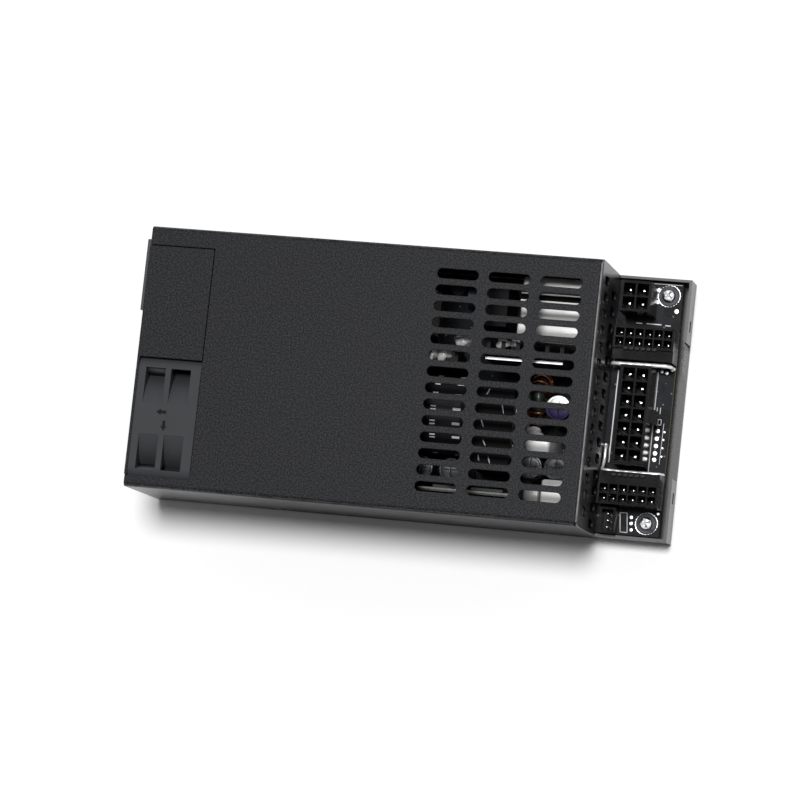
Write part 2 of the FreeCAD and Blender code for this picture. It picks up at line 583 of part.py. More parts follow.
def cut(name, base, tools, joined=fuse):
    """Take tools away from a base; tools clear of each other can be held as a group."""
    thing = doc.addObject("Part::Cut", name)
    thing.Base = base
    thing.Tool = tools[0] if len(tools) == 1 else joined(name + "_tools", tools)
    thing.Refine = True
    return thing


def common(name, first, second):
    """Keep what two pieces share."""
    thing = doc.addObject("Part::Common", name)
    thing.Base = first
    thing.Tool = second
    return thing


def group(name, pieces):
    """Hold separate solids together as one sub-part."""
    thing = doc.addObject("Part::Compound", name)
    thing.Links = pieces
    return thing


def rounded(name, base, radius, wanted):
    """Fillet the edges of a base whose middle point passes a test."""
    doc.recompute([base])
    thing = doc.addObject("Part::Fillet", name)
    thing.Base = base
    chosen = []
    for number, edge in enumerate(base.Shape.Edges, start=1):
        middle = edge.valueAt((edge.FirstParameter + edge.LastParameter) / 2)
        if wanted(middle):
            chosen.append((number, radius, radius))
    thing.Edges = chosen
    return thing


def publish(label, thing):
    """Name a finished sub-part, which is written to its own file."""
    thing.Label = label
    sub_parts.append((label, thing))
    return thing


def slot_tool(name, centre, length, width, low, high):
    """Add a round-ended slot along X that passes from one height to another."""
    x, y = centre
    reach = "((%s) - (%s)) / 2" % (length, width)
    depth = "(%s) - (%s)" % (high, low)
    middle = box(
        name + "_middle",
        ("%s - %s" % (x, reach), "%s - (%s) / 2" % (y, width), low),
        ("%s + %s" % (x, reach), "%s + (%s) / 2" % (y, width), high),
    )
    ends = [
        cylinder(name + "_end", "(%s) / 2" % width, depth, ("%s %s %s" % (x, sign, reach), y, low))
        for sign in "-+"
    ]
    return fuse(name, [middle] + ends)


def upright_slot_tool(name, y, z):
    """Add a round-ended vertical slot through the step wall."""
    reach = "(step_slot_height - step_slot_width) / 2"
    start = "step_x - 2 * sheet"
    length = "3 * sheet"
    middle = box(
        name + "_middle",
        (start, "%s - step_slot_width / 2" % y, "%s - %s" % (z, reach)),
        ("%s + %s" % (start, length), "%s + step_slot_width / 2" % y, "%s + %s" % (z, reach)),
    )
    ends = [
        cylinder(
            name + "_end",
            "step_slot_width / 2",
            length,
            (start, y, "%s %s %s" % (z, sign, reach)),
            ALONG_X,
        )
        for sign in "-+"
    ]
    return fuse(name, [middle] + ends)


def side_screw_places():
    """Give the cover screws' X positions, as expressions."""
    return ("notch_x + side_screw_near", "step_x - side_screw_far")


def side_screw_sides():
    """Give the cover screws' outer ends and the directions that they point in."""
    return (("-half_width", ALONG_Y), ("half_width", AGAINST_Y))


def fan_hole_places():
    """Give the fan mounting holes' Y and Z positions, as expressions."""
    return [
        ("fan_y %s fan_hole_pitch / 2" % across, "fan_z %s fan_hole_pitch / 2" % up)
        for across in "-+"
        for up in "-+"
    ]


def mount_hole_places():
    """Give the rear mounting holes' heights, as expressions."""
    return ["case_height / 2 %s mount_pitch / 2" % sign for sign in "-+"]


def standoff_places():
    """Give the main board's screw positions, as expressions."""
    rear = "main_start + board_screw_end"
    middle = "main_start + board_screw_middle"
    inner = "main_end - board_screw_inner"
    side = "main_half - board_screw_side"
    return [
        (rear, side),
        (rear, "-(%s)" % side),
        (middle, side),
        (inner, side),
        ("main_start + board_screw_lower", "-(%s)" % side),
        ("main_end - board_screw_front", "-(%s)" % side),
    ]


def shelf_screw_places():
    """Give the output board's screw positions, as expressions."""
    return [("front_x - shelf_screw_inset", "%s shelf_screw_offset" % side) for side in ("-", "")]


def grille_holes():
    """Give the punched holes of the fan grille, on a triangular grid inside a circle."""
    pitch = size("grille_pitch")
    row_pitch = pitch * math.sqrt(3) / 2
    reach = size("grille_radius - grille_hole_radius")
    rows = int(reach / row_pitch)
    columns = int(reach / pitch) + 1
    holes = []
    for row in range(-rows, rows + 1):
        for column in range(-columns, columns + 1):
            across = column + (row % 2) / 2
            distance = math.hypot(across * pitch, row * row_pitch)
            if distance <= reach:
                y = "fan_y + %s * grille_pitch" % across
                z = "fan_z + %s * grille_pitch * sqrt(3) / 2" % row
                holes.append((y, z))
    return holes


def build_base_chassis():
    """Floor, rear panel with its flap and grille, side flanges and the shelf's low walls."""
    half = "inner_half"
    sheets = [
        box("floor_body", ("rear_x", "-%s" % half, 0), ("step_x + lap_gap", half, "sheet")),
        box("floor_shelf", ("step_x + lap_gap", "-half_width", 0), ("front_x", "half_width", "sheet")),
        box("rear_panel", ("rear_x", "-%s" % half, 0), ("rear_x + sheet", half, "lid_under - lap_gap")),
        box(
            "rear_panel_top",
            ("rear_x", "window_low + lap_gap", "lid_under - lap_gap"),
            ("rear_x + sheet", "flap_high", "case_height"),
        ),
        box(
            "flap",
            ("rear_x", "flap_low", "lid_under"),
            ("notch_x - flap_seam", "flap_high", "case_height"),
        ),
        box("end_wall", ("front_x - sheet", "-half_width", 0), ("front_x", "half_width", "rim_height")),
    ]
    for side in ("-", ""):
        outer = "%s%s" % (side, half)
        inner = "%s(%s - sheet)" % (side, half)
        low, high = (outer, inner) if side else (inner, outer)
        sheets.append(
            box(
                "side_flange",
                ("main_start", low, 0),
                ("step_x - output_board_back - 2 * sheet", high, "side_flange_height"),
            )
        )
        outer = "%shalf_width" % side
        inner = "%s(half_width - sheet)" % side
        low, high = (outer, inner) if side else (inner, outer)
        sheets.append(box("shelf_wall", ("step_x + lap_gap", low, 0), ("front_x", high, "rim_height")))
    for z in mount_hole_places():
        sheets.append(
            cylinder(
                "mount_collar",
                "mount_collar_radius",
                "mount_collar_length",
                ("rear_x", "mount_y", z),
                ALONG_X,
            )
        )
    tools = [
        box(
            "floor_fan_window",
            ("fan_rear", "window_low", "-sheet"),
            ("notch_x", "window_high", "2 * sheet"),
        ),
        box(
            "end_wall_notch",
            ("front_x - 2 * sheet", "-end_notch_half", "end_notch_sill"),
            ("front_x + sheet", "end_notch_half", "rim_height + sheet"),
        ),
        block(
            "inlet_cut_out",
            ("rear_x + sheet / 2", "inlet_y"),
            "case_height / 2 - inlet_body_height / 2 - inlet_panel_gap",
            (
                "3 * sheet",
                "inlet_body_width + 2 * inlet_panel_gap",
                "inlet_body_height + 2 * inlet_panel_gap",
            ),
        ),
    ]
    for side in ("-", ""):
        tools.append(
            block(
                "end_wall_slot",
                ("front_x - sheet / 2", "%s end_slot_offset" % side),
                "(rim_height - end_slot_height) / 2",
                ("3 * sheet", "end_slot_width", "end_slot_height"),
            )
        )
        for x in side_screw_places():
            tools.append(
                cylinder(
                    "side_screw_hole",
                    "side_screw_radius + screw_play",
                    "4 * sheet",
                    (x, "%s inner_half - 2 * sheet" % side, "side_screw_height"),
                    ALONG_Y,
                )
            )
    for z in mount_hole_places():
        tools.append(
            cylinder(
                "mount_hole",
                "mount_hole_radius",
                "mount_collar_length + 2 * sheet",
                ("rear_x - sheet", "mount_y", z),
                ALONG_X,
            )
        )
    for y, z in fan_hole_places():
        sink = cone(
            "fan_screw_sink", "fan_screw_head", "fan_screw_radius", "sheet", ("rear_x", y, z), ALONG_X
        )
        hole = cylinder(
            "fan_screw_hole", "fan_screw_radius + screw_play", "2 * sheet", ("rear_x", y, z), ALONG_X
        )
        tools.append(fuse("fan_screw_seat", [sink, hole]))
    for y, z in grille_holes():
        tools.append(
            cylinder("grille_hole", "grille_hole_radius", "3 * sheet", ("rear_x - sheet", y, z), ALONG_X)
        )
    return publish("base_chassis", cut("base_chassis", fuse("base_sheets", sheets), tools, group))


def build_top_cover():
    """Lid, side walls and perforated step wall, folded from one sheet."""
    outer_block = box(
        "cover_outside",
        ("rear_x + cover_setback", "-half_width", "cover_lift"),
        ("step_x", "half_width", "case_height"),
    )
    top = size("case_height")
    side = size("half_width")
    front = size("step_x")
    rear = size("rear_x + cover_setback")

    def is_bend(middle):
        at_top = abs(middle.z - top) < 0.01
        at_side = abs(abs(middle.y) - side) < 0.01
        at_front = abs(middle.x - front) < 0.01
        at_rear = abs(middle.x - rear) < 0.01
        return at_top and (at_side or at_front) and not at_rear

    outside = rounded("cover_bends", outer_block, size("bend_radius"), is_bend)
    inside = box(
        "cover_inside",
        ("rear_x - sheet", "sheet - half_width", "-sheet"),
        ("step_x - sheet", "half_width - sheet", "lid_under"),
    )
    tools = [
        inside,
        box(
            "cover_notch",
            ("rear_x - sheet", "window_low", "lid_under - sheet"),
            ("notch_x", "notch_high", "case_height + sheet"),
        ),
        box(
            "step_wall_foot",
            ("step_x - 2 * sheet", "sheet - half_width", "-sheet"),
            ("step_x + sheet", "half_width - sheet", "step_bottom"),
        ),
    ]
    for sign in ("-", ""):
        tools.append(
            cylinder(
                "corner_relief",
                "relief_radius",
                "3 * sheet",
                ("step_x - sheet / 2", "%s(half_width - sheet / 2)" % sign, "case_height - 2 * sheet"),
            )
        )
    hollow = cut("cover_hollow", outside, tools)
    tools = []
    for column in range(count("vent_columns")):
        x = "step_x - vent_inset + %d * vent_pitch_along" % -column
        for row in range(count("vent_rows")):
            y = "-vent_shift + (%s - (vent_rows - 1) / 2) * vent_pitch_across" % row
            tools.append(slot_tool(
                "vent", (x, y), "vent_length", "vent_width", "lid_under - sheet", "case_height + sheet"
            ))
    for drop, shift in (("step_row_upper", "0"), ("step_row_lower", "step_stagger")):
        for row in range(count("step_slot_count")):
            y = "(%d - (step_slot_count - 1) / 2) * step_slot_pitch - %s" % (row, shift)
            tools.append(upright_slot_tool("step_slot", y, "case_height - %s" % drop))
    for x in side_screw_places():
        for start, turn in side_screw_sides():
            place_of_screw = (x, start, "side_screw_height")
            sink = cone(
                "side_screw_sink", "side_screw_head", "side_screw_radius", "sheet", place_of_screw, turn
            )
            hole = cylinder(
                "side_screw_pass", "side_screw_radius + screw_play", "2 * sheet", place_of_screw, turn
            )
            tools.append(fuse("side_screw_seat", [sink, hole]))
    return publish("top_cover", cut("top_cover", hollow, tools, group))


def cross_recess(centre, axis):
    """Add the two bars that cut a cross into a countersunk head, which lies across an axis."""
    bars = []
    for long_side in ("first", "second"):
        sides = ["recess_length", "recess_width"]
        if long_side == "second":
            sides.reverse()
        sides.insert("xyz".index(axis), "2 * recess_depth")
        corners = [
            ["(%s) %s (%s) / 2" % (middle, sign, side) for middle, side in zip(centre, sides)]
            for sign in "-+"
        ]
        bars.append(box("recess_bar", *corners))
    return bars


def build_cover_screws():
    """Countersunk screws through the cover's side walls into the base flanges."""
    screws = []
    for x in side_screw_places():
        for start, turn in side_screw_sides():
            head = cone(
                "cover_screw_head",
                "side_screw_head",
                "side_screw_radius",
                "sheet",
                (x, start, "side_screw_height"),
                turn,
            )
            shank = cylinder(
                "cover_screw_shank",
                "side_screw_radius",
                "side_screw_length",
                (x, start, "side_screw_height"),
                turn,
            )
            blank = fuse("cover_screw_blank", [head, shank])
            screws.append(cut("cover_screw", blank, cross_recess((x, start, "side_screw_height"), "y")))
    return publish("cover_screws", group("cover_screws", screws))


def build_fan_frame():
    """Square moulded frame with side pockets, motor base, struts and bearing tube."""
    half = "fan_size / 2"
    block_outside = box(
        "fan_block",
        ("fan_rear", "fan_y - %s" % half, "fan_z - %s" % half),
        ("fan_front", "fan_y + %s" % half, "fan_z + %s" % half),
    )
    middle_x = size("(fan_rear + fan_front) / 2")

    def is_corner(middle):
        return abs(middle.x - middle_x) < 0.01

    frame = rounded("fan_corners", block_outside, size("fan_corner"), is_corner)
    core = "%s - fan_corner_bar" % half
    pocket_end = "fan_size / 2 - fan_corner_solid"
    web_low = "(fan_rear + fan_rear_flange + fan_front - fan_front_flange - fan_web) / 2"
    web_high = "(fan_rear + fan_rear_flange + fan_front - fan_front_flange + fan_web) / 2"
    layers = (
        ("fan_rear + fan_rear_flange", web_low),
        (web_high, "fan_front - fan_front_flange"),
    )
    tools = [
        cylinder("fan_duct", "fan_bore", "2 * fan_depth", ("fan_rear - sheet", "fan_y", "fan_z"), ALONG_X),
    ]
    for start, end in layers:
        spaces = [
            box(
                "pocket_middle",
                (start, "fan_y - (%s)" % core, "fan_z - (%s)" % core),
                (end, "fan_y + (%s)" % core, "fan_z + (%s)" % core),
            )
        ]
        for sign in ("-", "+"):
            near = "%s fan_pocket_start" % sign
            far = "%s (%s)" % (sign, pocket_end)
            first, second = (far, near) if sign == "-" else (near, far)
            spaces.append(
                box(
                    "pocket_upright",
                    (start, "fan_y %s" % first, "fan_z - fan_size"),
                    (end, "fan_y %s" % second, "fan_z + fan_size"),
                )
            )
            spaces.append(
                box(
                    "pocket_level",
                    (start, "fan_y - fan_size", "fan_z %s" % first),
                    (end, "fan_y + fan_size", "fan_z %s" % second),
                )
            )
        duct_wall = cylinder(
            "fan_duct_wall", "fan_tube", "(%s) - (%s)" % (end, start), (start, "fan_y", "fan_z"), ALONG_X
        )
        tools.append(cut("fan_pockets", fuse("fan_pocket_spaces", spaces), [duct_wall]))
    for y, z in fan_hole_places():
        tools.append(cylinder(
            "fan_hole", "fan_hole_radius", "2 * fan_depth", ("fan_rear - sheet", y, z), ALONG_X
        ))
    shell = cut("fan_shell", frame, tools)
    start = ("fan_rear", "fan_y", "fan_z")
    duct = cylinder("fan_strut_limit", "fan_bore + fan_strut_root", "motor_base_depth", start, ALONG_X)
    struts = [
        box(
            "fan_strut",
            ("fan_rear", "fan_y - fan_size / 2", "fan_z - fan_strut_width / 2"),
            ("motor_base_end", "fan_y + fan_size / 2", "fan_z + fan_strut_width / 2"),
        ),
        box(
            "fan_strut",
            ("fan_rear", "fan_y - fan_strut_width / 2", "fan_z - fan_size / 2"),
            ("motor_base_end", "fan_y + fan_strut_width / 2", "fan_z + fan_size / 2"),
        ),
    ]
    cross = common("fan_struts", fuse("fan_strut_cross", struts), duct)
    base = cylinder("motor_base", "motor_base_radius", "motor_base_depth", start, ALONG_X)
    tube_length = "bearing_tube_end - fan_rear"
    tube = cylinder("bearing_tube", "bearing_tube_radius", tube_length, start, ALONG_X)
    bore_start = ("fan_rear + bearing_floor", "fan_y", "fan_z")
    hollow = cylinder("bearing_tube_bore", "bearing_radius", tube_length, bore_start, ALONG_X)
    whole = fuse("fan_solid", [shell, cross, base, tube])
    return publish("fan_frame", cut("fan_frame", whole, [hollow]))


def build_fan_bearings():
    """Two bearings in the fan's bearing tube, one at each end."""
    bearings = []
    for x in ("fan_rear + bearing_floor + bearing_seat", "bearing_tube_end - bearing_length"):
        start = (x, "fan_y", "fan_z")
        outside = cylinder("bearing_outside", "bearing_radius", "bearing_length", start, ALONG_X)
        bore = cylinder("bearing_bore", "shaft_radius + shaft_play", "bearing_length", start, ALONG_X)
        bearings.append(cut("fan_bearing", outside, [bore]))
    return publish("fan_bearings", group("fan_bearings", bearings))


def build_fan_motor():
    """Motor circuit board and wound stator round the bearing tube."""
    base = ("motor_base_end", "fan_y", "fan_z")
    board = cylinder("motor_board_disc", "magnet_radius - magnet_wall", "motor_board_depth", base, ALONG_X)
    board_bore = cylinder("motor_board_bore", "bearing_tube_radius", "motor_board_depth", base, ALONG_X)
    publish("fan_motor_board", cut("fan_motor_board", board, [board_bore]))
    start = ("stator_start", "fan_y", "fan_z")
    yoke = cylinder("stator_yoke", "bearing_tube_radius + stator_yoke", "stator_length", start, ALONG_X)
    rim = cylinder("stator_rim", "stator_radius", "stator_length", start, ALONG_X)
    inner = cylinder("stator_rim_inside", "stator_radius - stator_rim", "stator_length", start, ALONG_X)
    reach = "(stator_radius - stator_rim / 2)"
    half = "(stator_limb / 2)"
    limbs = [
        box(
            "stator_limb",
            ("stator_start", "fan_y - %s" % across, "fan_z - %s" % up),
            ("stator_start + stator_length", "fan_y + %s" % across, "fan_z + %s" % up),
        )
        for across, up in ((reach, half), (half, reach))
    ]
    hoop = cut("stator_hoop", rim, [inner])
    foot = ("stator_start - stator_lift", "fan_y", "fan_z")
    spacer = cylinder("stator_spacer", "bearing_tube_radius + stator_spacer", "stator_lift", foot, ALONG_X)
    bore = cylinder("stator_bore", "bearing_tube_radius", "stator_length + stator_lift", foot, ALONG_X)
    publish("fan_stator", cut("fan_stator", fuse("stator_stack", [yoke, hoop, spacer] + limbs), [bore]))


def build_fan_rotor():
    """Hub cup with pitched blades, its magnet ring and its shaft."""
    depth = "(rotor_front - rotor_rear)"
    rear = ("rotor_rear", "fan_y", "fan_z")
    hub = cylinder("hub_outside", "hub_radius", depth, rear, ALONG_X)
    hollow = cylinder("hub_inside", "hub_radius - hub_wall", "%s - hub_wall" % depth, rear, ALONG_X)
    cup = cut("hub_cup", hub, [hollow])
    boss_start = ("rotor_front - hub_wall - hub_boss", "fan_y", "fan_z")
    boss = cylinder("hub_boss", "2 * shaft_radius", "hub_boss + hub_wall / 2", boss_start, ALONG_X)
    tips_start = ("rotor_rear + blade_margin", "fan_y", "fan_z")
    tips = cylinder("blade_limit", "blade_radius", "%s - 2 * blade_margin" % depth, tips_start, ALONG_X)
    roots = cylinder("blade_root", "hub_radius - hub_wall / 2", depth, rear, ALONG_X)
    limit = cut("blade_space", tips, [roots])
    length = size("2 * blade_radius")
    blades = []
    for number in range(count("blade_count")):
        angle = 360.0 * number / count("blade_count")
        blade = doc.addObject("Part::Box", "blade")
        blade.setExpression("Length", bound("2 * blade_radius"))
        blade.setExpression("Width", bound("blade_thickness"))
        blade.setExpression("Height", bound("fan_bore"))
        spin = Rotation(Vector(1, 0, 0), angle)
        lean = Rotation(Vector(0, 0, 1), size("blade_pitch"))
        turn = spin.multiply(lean)
        middle = turn.multVec(Vector(length / 2, size("blade_thickness") / 2, 0))
        corner = (
            "(rotor_rear + rotor_front) / 2 - (%r)" % middle.x,
            "fan_y - (%r)" % middle.y,
            "fan_z - (%r)" % middle.z,
        )
        blades.append(place(blade, corner, turn))
    swept = common("blades", limit, fuse("blade_plates", blades))
    bore_start = ("rotor_front - 2 * (hub_boss + hub_wall)", "fan_y", "fan_z")
    bore = cylinder("hub_shaft_hole", "shaft_radius", "3 * (hub_boss + hub_wall)", bore_start, ALONG_X)
    publish("fan_rotor", cut("fan_rotor", fuse("rotor_solid", [cup, boss, swept]), [bore]))
    start = ("stator_start - magnet_reach", "fan_y", "fan_z")
    length = "stator_length + 2 * magnet_reach"
    magnet = cylinder("magnet_outside", "magnet_radius", length, start, ALONG_X)
    magnet_bore = cylinder("magnet_inside", "magnet_radius - magnet_wall", length, start, ALONG_X)
    publish("fan_magnet_ring", cut("fan_magnet_ring", magnet, [magnet_bore]))
    shaft_start = "fan_rear + bearing_floor + shaft_end_gap"
    start = (shaft_start, "fan_y", "fan_z")
    shaft = cylinder("fan_shaft_rod", "shaft_radius", "rotor_front - (%s)" % shaft_start, start, ALONG_X)
    publish("fan_shaft", group("fan_shaft", [shaft]))


def build_fan_screws():
    """Countersunk screws through the rear panel into the fan frame."""
    screws = []
    for y, z in fan_hole_places():
        head = cone(
            "fan_screw_top", "fan_screw_head", "fan_screw_radius", "sheet", ("rear_x", y, z), ALONG_X
        )
        shank = cylinder(
            "fan_screw_shank", "fan_screw_radius", "fan_screw_length", ("rear_x", y, z), ALONG_X
        )
        blank = fuse("fan_screw_blank", [head, shank])
        screws.append(cut("fan_screw", blank, cross_recess(("rear_x", y, z), "x")))
    publish("fan_screws", group("fan_screws", screws))


def build_inlet():
    """Three-pin mains inlet in the rear panel, with its pins and solder tabs."""
    centre = "case_height / 2"
    flange = block(
        "inlet_flange_plate",
        ("rear_x - inlet_flange / 2", "inlet_y"),
        "%s - inlet_flange_height / 2" % centre,
        ("inlet_flange", "inlet_flange_width", "inlet_flange_height"),
    )
    body = block(
        "inlet_body_block",
        ("rear_x + inlet_body_depth / 2", "inlet_y"),
        "%s - inlet_body_height / 2" % centre,
        ("inlet_body_depth", "inlet_body_width", "inlet_body_height"),
    )
    cavity = block(
        "inlet_socket",
        ("rear_x - inlet_flange + inlet_cavity_depth / 2", "inlet_y"),
        "%s - inlet_cavity_height / 2" % centre,
        ("inlet_cavity_depth", "inlet_cavity_width", "inlet_cavity_height"),
    )
    cavity_x = size("rear_x - inlet_flange + inlet_cavity_depth / 2")
    cavity_y = size("inlet_y - inlet_cavity_width / 2")

    def is_keyed_corner(middle):
        return abs(middle.x - cavity_x) < 0.01 and abs(middle.y - cavity_y) < 0.01

    keyed = rounded("inlet_socket_keyed", cavity, size("inlet_key_radius"), is_keyed_corner)
    pins = []
    slots = []
    for side, up in (("-", 0), ("+", -1), ("+", 1)):
        y = "inlet_y %s inlet_earth_offset / 2" % side
        z = "%s + %d * inlet_pin_spacing / 2" % (centre, up)
        blade = block(
            "inlet_pin_blade",
            ("rear_x + (inlet_body_depth + inlet_pin_setback) / 2", y),
            "%s - inlet_pin_thickness / 2" % z,
            ("inlet_body_depth - inlet_pin_setback", "inlet_pin_width", "inlet_pin_thickness"),
        )
        tab = block(
            "inlet_tab",
            ("(inlet_back + inlet_tab_end) / 2", y),
            "%s - inlet_tab_thickness / 2" % z,
            ("inlet_tab_length", "inlet_pin_width", "inlet_tab_thickness"),
        )
        slots.append(
            block(
                "inlet_pin_slot",
                ("rear_x + (inlet_body_depth + inlet_pin_setback) / 2", y),
                "%s - inlet_pin_thickness / 2" % z,
                ("inlet_body_depth - inlet_pin_setback", "inlet_pin_width", "inlet_pin_thickness"),
            )
        )
        pins.append(fuse("inlet_pin", [blade, tab]))
    publish("ac_inlet", cut("ac_inlet", fuse("inlet_moulding", [flange, body]), [keyed] + slots))
    publish("inlet_pins", group("inlet_pins", pins))


def tube_along(points, radius):
    """Sweep a round wire along straight runs joined by tangent arcs."""
    edges = []
    start = points[0]
    for before, corner, after in zip(points, points[1:], points[2:]):
        back = (before - corner).normalize()
        ahead = (after - corner).normalize()
        run = 0.45 * min((before - corner).Length, (after - corner).Length)
        first = corner + back * run
        last = corner + ahead * run
        chord = (first + last) * 0.5
        half_turn = (math.pi - back.getAngle(ahead)) / 2
        bend = run / math.tan(half_turn)
        centre = corner + (chord - corner).normalize() * (bend / math.cos(half_turn))
        top = centre + (corner - centre).normalize() * bend
        edges.append(Part.LineSegment(start, first).toShape())
        edges.append(Part.Arc(first, top, last).toShape())
        start = last
    edges.append(Part.LineSegment(start, points[-1]).toShape())
    path = Part.Wire(edges)
    direction = (points[1] - points[0]).normalize()
    profile = Part.Wire([Part.makeCircle(radius, points[0], direction)])
    return path.makePipeShell([profile], True, False)


def tubes(label, routes, radius):
    """Add one sub-part of swept wires, one for each route."""
    thing = doc.addObject("Part::Feature", label)
    thing.Shape = Part.makeCompound([tube_along(route, radius) for route in routes])
    return publish(label, thing)


def build_inlet_wires():
    """Wires from the inlet's solder tabs down to the main board."""
    start = size("inlet_tab_end")
    bend = size("inlet_tab_end + wire_reach")
    top = size("board_top")
    routes = []
    for up, sideways in ((-1, 0), (0, -1), (1, 0)):
        offset = -0.5 if up == 0 else 0.5
        y = size("inlet_y + %r * inlet_earth_offset" % offset)
        z = size("case_height / 2 + %d * inlet_pin_spacing / 2" % up)
        foot = bend + (up + 1) * size("wire_pitch")
        route = [Vector(start, y, z), Vector(foot, y, z)]
        if sideways:
            y += sideways * size("wire_shift")
            route.append(Vector(foot, y, top + size("wire_rise")))
        routes.append(route + [Vector(foot, y, top)])
    tubes("inlet_wires", routes, size("wire_radius"))


def build_boards():
    """Main and output boards on their standoffs, with screws, washers and insulation."""
    main = box(
        "main_board_sheet",
        ("main_start", "-main_half", "board_z"),
        ("main_end", "main_half", "board_top"),
    )
    holes = [
        cylinder(
            "main_board_hole",
            "board_hole_radius",
            "3 * board_thickness",
            (x, y, "board_z - board_thickness"),
        )
        for x, y in standoff_places()
    ]
    publish("main_board", cut("main_board", main, holes))
    output = box(
        "output_board_sheet",
        ("step_x - output_board_back - sheet", "output_board_side + sheet - half_width", "output_z"),
        ("front_x - sheet - output_board_gap", "half_width - sheet - output_board_side", "output_top"),
    )
    holes = [
        cylinder(
            "output_board_hole",
            "board_hole_radius",
            "3 * board_thickness",
            (x, y, "output_z - board_thickness"),
        )
        for x, y in shelf_screw_places()
    ]
    publish("output_board", cut("output_board", output, holes))
    standoffs = []
    screws = []
    for x, y in standoff_places():
        post = cylinder("standoff_post", "standoff_radius", "standoff_height", (x, y, "sheet"))
        bore = cylinder(
            "standoff_hole", "standoff_bore", "standoff_height", (x, y, "sheet + standoff_floor")
        )
        standoffs.append(cut("standoff", post, [bore]))
        head = cylinder(
            "board_screw_top", "board_screw_head", "board_screw_head_height", (x, y, "board_top")
        )
        tip = (x, y, "board_z - board_screw_grip")
        shank = cylinder(
            "board_screw_shank", "board_screw_radius", "board_thickness + board_screw_grip", tip
        )
        screws.append(fuse("board_screw", [head, shank]))
    publish("main_board_standoffs", group("main_board_standoffs", standoffs))
    publish("main_board_screws", group("main_board_screws", screws))
    standoffs = []
    screws = []
    for x, y in shelf_screw_places():
        post = cylinder("shelf_post", "standoff_radius", "output_board_height", (x, y, "sheet"))
        bore = cylinder(
            "shelf_post_hole", "standoff_bore", "output_board_height", (x, y, "sheet + standoff_floor")
        )
        standoffs.append(cut("shelf_standoff", post, [bore]))
        disc = cylinder("washer_disc", "washer_radius", "washer_thickness", (x, y, "output_top"))
        seat = "output_top + washer_thickness"
        head = cylinder("shelf_screw_top", "board_screw_head", "board_screw_head_height", (x, y, seat))
        bar = ("board_recess_length", "board_recess_width")
        recess = [
            block("shelf_screw_recess", (x, y), "%s + board_screw_head_height / 2" % seat, sides + bar[:1])
            for sides in (bar, bar[::-1])
        ]
        length = "board_thickness + washer_thickness + shelf_screw_grip"
        shank = cylinder(
            "shelf_screw_shank", "board_screw_radius", length, (x, y, "output_z - shelf_screw_grip")
        )
        screws.append(cut("shelf_screw", fuse("shelf_screw_blank", [head, disc, shank]), recess))
    publish("output_board_standoffs", group("output_board_standoffs", standoffs))
    publish("output_board_screws", group("output_board_screws", screws))
    film = box(
        "insulation_film",
        ("main_start - insulation_margin", "-(main_half + insulation_margin)", "sheet"),
        ("main_end + insulation_margin", "main_half + insulation_margin", "sheet + insulation_thickness"),
    )
    holes = [
        cylinder("insulation_hole", "standoff_radius + insulation_gap", "2 * sheet", (x, y, "0"))
        for x, y in standoff_places()
    ]
    publish("insulation_sheet", cut("insulation_sheet", film, holes))


def build_header(label, kind, columns, rows, first, latch):
    """Add a shrouded header, one cavity for each circuit, and its square pins.

    kind is power or signal, first is the pin nearest the step wall and +Y, and latch is
    the side of the latch ledge, -1, 0 or 1 along Y, or 2 for one on the shelf's side.
    """
    x, y = first
    pitch = "%s_pitch" % kind
    rim = "(%s_pitch / 2 + %s_rim)" % (kind, kind)
    low_y = "%s - %d * %s - %s" % (y, rows - 1, pitch, rim)
    high_y = "%s + %s" % (y, rim)
    low_x = "%s - %s" % (x, rim)
    high_x = "%s + %d * %s + %s" % (x, columns - 1, pitch, rim)
    top = "output_top + %s_height" % kind
    shells = [box(label + "_shell", (low_x, low_y, "output_top"), (high_x, high_y, top))]
    ledge_top = "%s - latch_ledge_drop" % top
    if latch == -1:
        shells.append(
            box(
                label + "_ledge",
                (low_x, "%s - latch_ledge_width" % low_y, "output_top"),
                (high_x, low_y, ledge_top),
            )
        )
    if latch == 1:
        shells.append(
            box(
                label + "_ledge",
                (low_x, high_y, "output_top"),
                (high_x, "%s + latch_ledge_width" % high_y, ledge_top),
            )
        )
    if latch == 2:
        middle = "(%s + %s) / 2" % (low_y, high_y)
        shells.append(
            block(
                label + "_ledge",
                ("%s + main_latch_width / 2" % high_x, middle),
                "output_top + %s_height / 2" % kind,
                ("main_latch_width", "%s" % pitch, "%s_height / 2 - latch_ledge_drop" % kind),
            )
        )
    cells = []
    pins = []
    for column in range(columns):
        for row in range(rows):
            centre = ("%s + %d * %s" % (x, column, pitch), "%s - %d * %s" % (y, row, pitch))
            cell = "%s_cell" % kind
            cells.append(
                block(
                    label + "_cell",
                    centre,
                    "output_top + %s_floor" % kind,
                    (cell, cell, "%s_height" % kind),
                )
            )
            pin = "%s_pin" % kind
            cells.append(block(label + "_pin_hole", centre, "output_z", (pin, pin, "%s_height" % kind)))
            pins.append(block(label + "_pin", centre, "output_top", (pin, pin, "%s_pin_height" % kind)))
    publish(label, cut(label, fuse(label + "_block", shells) if len(shells) > 1 else shells[0], cells))
    publish(label + "_pins", group(label + "_pins", pins))


